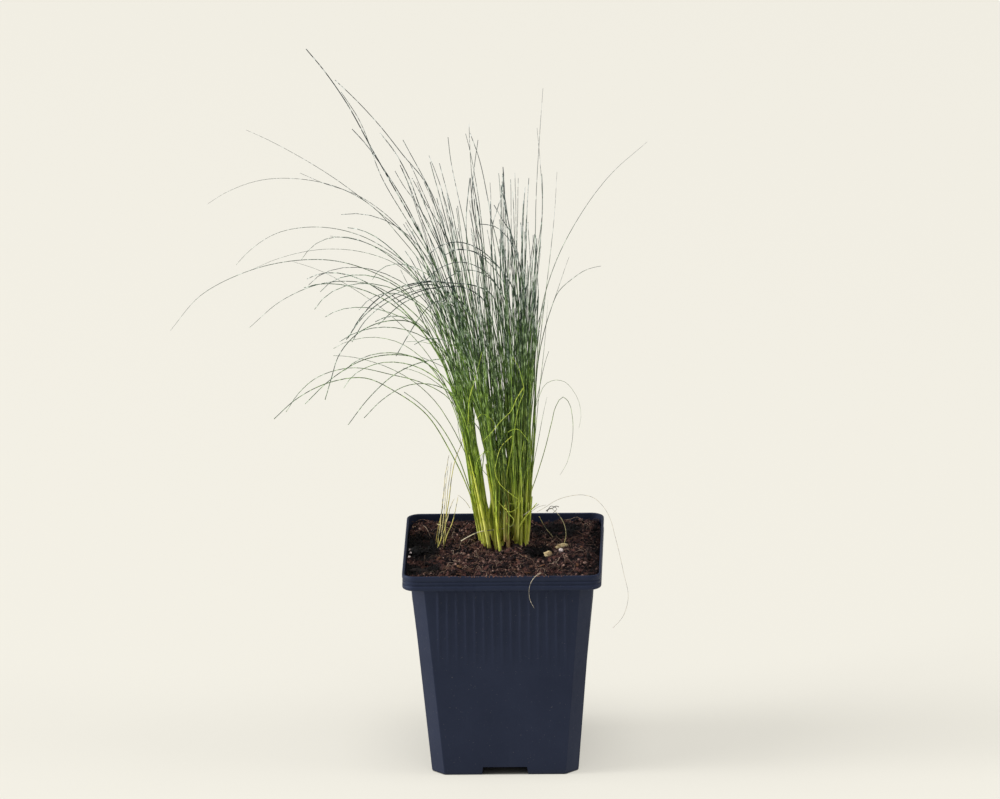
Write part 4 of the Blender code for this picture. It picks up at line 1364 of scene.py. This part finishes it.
def tiller_strands(foot, heading, lean, sheath, bunch, own, draw):
    """One tiller: its sheaths, its own blades, and more blades that cross."""
    base = Vector((foot.x, foot.y, crown_top() - ROOT_SINK))
    tip = blade_path(base, Blade(heading, 0, lean, lean + 2, 1, sheath, 0), bunch.sector, 2)[-1]
    strands = sheath_strands(base, tip, draw, bunch.brightness)
    for blade in own:
        start = base.lerp(tip, blade.rise / sheath)
        width = BLADE_WIDTH * draw.uniform(0.75, 1.15)
        tint = bright_or_dark(draw, bunch.brightness)
        made = blade_strand(start, blade, bunch.sector, draw, width, OWN_SWAY, tint)
        strands.append(combed(made, draw, OWN_COMB))
    more = FRONT_BLADES if bunch.sector[0] in FRONT else EXTRA_BLADES
    for index in range(more):
        start = base.lerp(tip, 0.2 + 0.7 * index / more)
        width = BLADE_WIDTH * draw.uniform(0.60, 0.95)
        tint = bright_or_dark(draw, bunch.brightness)
        made = blade_strand(start, extra_blade(draw), ANY_HEADING, draw, width, EXTRA_SWAY, tint)
        strands.append(combed(made, draw, EXTRA_COMB))
    return [parted(strand) for strand in strands]


def bunch_strands(bunch):
    """The frame's blades made fine, more blades, and more tillers between its own."""
    rule_draw = random.Random(f"{SEED} {bunch.name}")
    draw = random.Random(f"{SEED} more {bunch.name}")
    strands = []
    for tiller in tillers_of(bunch, rule_draw):
        own = blades_of(bunch, tiller, rule_draw)
        strands += tiller_strands(*tiller, bunch, own, draw)
    low, high = bunch.sector
    more = EXTRA_TILLERS - 1 if bunch.name in FEWER_TILLERS else EXTRA_TILLERS
    for _ in range(more):
        heading = draw.uniform(low, high)
        far = reach_to_edge(SECTORS_MEET, heading, CLUMP_RADIUS - SHEATH_RADIUS)
        foot = SECTORS_MEET + heading_vector(heading) * far * draw.uniform(0.45, 0.95)
        lean = draw.uniform(1.5, 5.5)
        strands += tiller_strands(foot, heading, lean, draw.uniform(0.016, 0.030), bunch, [], draw)
    taper = FAR_TAPER if bunch.name in FAR else NEAR_TAPER
    strands += [traced_strand(traced, taper=taper) for traced in TRACED.get(bunch.name, ())]
    strands += [traced_sheath(traced) for traced in SHEATHS.get(bunch.name, ())]
    return strands


def make_bunches(living, withered):
    for bunch in BUNCHES:
        add_piece(bunch.name + "_fine", strand_mesh(bunch.name, bunch_strands(bunch)), bunch.slot,
                  withered if bunch.slot == "dry_sheaths" else living, bunch.name)


def make_tuft(straw):
    draw = random.Random(SEED + 5)
    strands = []
    for x, y, *numbers in TUFT_STEMS:
        start = Vector((TUFT.x + x, TUFT.y + y, crown_top() - 3 * ROOT_SINK))
        made = blade_strand(start, Blade(*numbers, 0), (0, 360), draw, TUFT_WIDTH, TUFT_SWAY,
                            draw.uniform(0.5, 1))
        strands.append(made._replace(shades=np.linspace(0.66, 0.95, len(made.path))))
    strands += [traced_strand(traced) for traced in TUFT_BLADES]
    add_piece("side_tuft_fine", strand_mesh("side_tuft", strands), "dry_sheaths", straw, "side_tuft")


def make_loose(living, straw):
    curls = [traced_strand(traced, CURL_SPACING) for traced in CURLS]
    add_piece("curled_blades", strand_mesh("curled_blades", curls), "lime_blades", living)
    hairs = [traced_strand(traced, CURL_SPACING, taper=0.3) for traced in HAIRS + (OVER_RIM,)]
    add_piece("stray_hairs", strand_mesh("stray_hairs", hairs), "dry_sheaths", straw)


def fibre(draw, length, width):
    """A curly root or straw lying on the soil, its middle a little raised."""
    x, y = scatter_place(draw, 0.004)
    heading = draw.uniform(0, 2 * math.pi)
    curl = draw.uniform(-2.4, 2.4)
    wave = draw.uniform(0, 9)
    lift = draw.uniform(0.0001, 0.0013)
    half = RIM_WIDTH / 2 - WALL - 0.0012
    path = []
    steps = 10
    for step in range(steps + 1):
        share = step / steps
        rise = lift * math.sin(math.pi * share) * (1 + math.sin(wave * share))
        path.append((x, y, soil_top(x, y) + 0.0002 + rise))
        heading += curl / steps + 0.35 * math.sin(wave + 5 * share)
        x = min(max(x + length / steps * math.cos(heading), -half), half)
        y = min(max(y + length / steps * math.sin(heading), -half), half)
    tint = draw.random() ** 0.9
    widths = width * np.linspace(1, 0.55, steps + 1)
    return Strand(np.array(path), widths, 0.8, np.full(steps + 1, tint), tint, 4)


def soil_straw(width, tint, pixels):
    path = smooth_path([soil_at(pixel, width * MM * 0.6) for pixel in pixel_path(pixels)], STRAW_SPACING)
    count = len(path)
    return Strand(path, width * MM * np.linspace(1, 0.6, count), 0.7, np.full(count, tint), tint, 6)


def make_fibres():
    draw = random.Random(SEED + 3)
    strands = [fibre(draw, draw.uniform(0.003, 0.012), draw.uniform(0.00012, 0.00026))
               for _ in range(FINE_FIBRES)]
    strands += [fibre(draw, draw.uniform(0.008, 0.018), draw.uniform(0.00028, 0.00050))
                for _ in range(STOUT_FIBRES)]
    strands += [soil_straw(*straw) for straw in SOIL_STRAWS]
    mesh = strand_mesh("soil_fibres", strands)
    add_pit_shade(mesh)
    add_piece("soil_fibres", mesh, "potting_soil",
              tinted_material("fibre_finish", 0.8, FIBRE_STOPS, 1800))


# Bits on the soil


def lumpy_piece(name, middle, sizes_mm, turn_degrees, seed):
    """One rough pebble or scrap, modelled finely."""
    shape = bmesh.new()
    bmesh.ops.create_icosphere(shape, subdivisions=5, radius=1)
    for vertex in shape.verts:
        p = vertex.co.copy()
        swell = 1 + 0.22 * noise.noise(p * 1.5 + Vector((seed, 0, 0)))
        swell += 0.07 * noise.fractal(p * 5 + Vector((0, seed, 0)), 0.8, 2.1, 3)
        vertex.co = Vector([c * s * MM * swell for c, s in zip(p, sizes_mm)])
    bmesh.ops.rotate(shape, verts=shape.verts, cent=(0, 0, 0),
                     matrix=Matrix.Rotation(math.radians(turn_degrees), 3, "Z"))
    bmesh.ops.translate(shape, verts=shape.verts, vec=middle)
    piece = object_of(name, shape)
    piece.data.shade_smooth()
    return piece


def chalky(name, light, dark, scale):
    made, tree, shader = start_material(name, 0.85, 0.3)
    mottle = noise_of(tree, scale, 5, 0.6)
    tree.links.new(colour_ramp(tree, mottle, ((0.36, dark), (0.62, light))), shader.inputs["Base Color"])
    set_bump(tree, shader, mottle, 0.6, 0.0006)
    return made


def middle_of(node):
    low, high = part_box(node)
    return [(a + b) / 2 for a, b in zip(low, high)]


def make_bits():
    tan = chalky("dry_bark_finish", (0.60, 0.50, 0.28), (0.26, 0.16, 0.07), 900)
    round_clod = lumpy_piece("bark_crumb_round", middle_of("clod_round"), (2.0, 1.7, 1.45), 20, 3)
    settle(round_clod, "tan_clods", tan, "clod_round")
    long_clod = lumpy_piece("bark_crumb_long", middle_of("clod_long"), (3.2, 1.15, 1.05), 35, 8)
    settle(long_clod, "tan_clods", tan, "clod_long")
    white = chalky("perlite_finish", (0.80, 0.70, 0.66), (0.52, 0.42, 0.40), 1400)
    grain = lumpy_piece("perlite_bead", middle_of("perlite_grain"), (1.05, 1.0, 0.9), 0, 5)
    settle(grain, "perlite", white, "perlite_grain")
    draw = random.Random(SEED + 4)
    specks = [(soil_at(pixel, 0.0012), (size, size * 0.7, size * 0.8), random_turn(draw), 1.0)
              for pixel, size in PERLITE_SPECKS]
    add_piece("perlite_specks", lump_meshes("perlite_specks", specks, 3), "perlite", white)
    chips = [(soil_at(pixel, sizes[2] / 2), sizes, Euler(turn), tint)
             for pixel, sizes, turn, tint in BARK_SCRAPS]
    for _ in range(BARK_CHIPS):
        x, y = scatter_place(draw, 0.004)
        length = draw.uniform(0.0008, 0.0022)
        turn = random_turn(draw)
        turn.x *= 0.06
        turn.y *= 0.06
        sizes = (length, length * 0.4, length * 0.22)
        chips.append(((x, y, soil_top(x, y) + 0.0003), sizes, turn, draw.random() ** 2))
    add_piece("bark_chips", lump_meshes("bark_chips", chips, 3), "potting_soil",
              tinted_material("bark_finish", 0.85, BARK_STOPS, 900))


# Stage


def outside_foot(tree):
    """Nought under the pot's foot, with its cut corners, and one beyond it."""
    place = add_node(tree, "ShaderNodeTexCoord").outputs["Object"]
    size = add_node(tree, "ShaderNodeVectorMath", {0: place}, operation="ABSOLUTE").outputs["Vector"]
    parts = add_node(tree, "ShaderNodeSeparateXYZ", {"Vector": size}).outputs
    side = math_of(tree, "MAXIMUM", parts["X"], parts["Y"])
    both = math_of(tree, "ADD", parts["X"], parts["Y"])
    corner = math_of(tree, "SUBTRACT", both, body_half(0) - BODY_CUT)
    reach = math_of(tree, "MAXIMUM", side, corner)
    return value_map(tree, reach, body_half(0) - 0.0006, body_half(0), 0, 1)


def make_stage():
    corners = [(x * FLOOR_REACH, y * FLOOR_REACH, 0) for x, y in ((-1, -1), (1, -1), (1, 1), (-1, 1))]
    floor = new_object("floor", mesh_from("floor", corners, [(0, 1, 2, 3)]))
    made, tree, shader = start_material("floor_finish", 0.95, 0.1)
    shader.inputs["Base Color"].default_value = FLOOR_COLOUR
    shader.inputs["Emission Color"].default_value = FLOOR_GLOW
    tree.links.new(outside_foot(tree), shader.inputs["Emission Strength"])
    floor.data.materials.append(made)
    world = bpy.data.worlds.new("soft_room")
    world.use_nodes = True
    background = world.node_tree.nodes["Background"]
    background.inputs["Color"].default_value = ROOM_COLOUR
    background.inputs["Strength"].default_value = ROOM_LIGHT
    bpy.context.scene.world = world
    bpy.context.scene.view_settings.view_transform = "Standard"


def make_lights():
    for name, place, size, power in LIGHTS:
        data = bpy.data.lights.new(name, "AREA")
        data.shape = "DISK"
        data.size = size
        data.energy = power
        light = new_object(name, data)
        light.location = place
        aim = Vector((0, 0, 0.14)) - Vector(place)
        light.rotation_euler = aim.to_track_quat("-Z", "Y").to_euler()


def main():
    noise.seed_set(SEED)
    make_camera()
    make_stage()
    make_lights()
    living = blade_material("blade_finish", SHADED_BLADE, LIT_BLADE, PALE_DASH, 0.40)
    withered = blade_material("withered_finish", WITHERED_SHADED, WITHERED_LIT, PALE_DASH, 0.55)
    straw = blade_material("straw_finish", DARK_STRAW, BRIGHT_STRAW, BRIGHT_STRAW, 0.60)
    make_pot()
    make_soil(soil_material())
    make_crumbs()
    make_fibres()
    make_bunches(living, withered)
    make_tuft(straw)
    make_loose(living, straw)
    make_bits()


main()
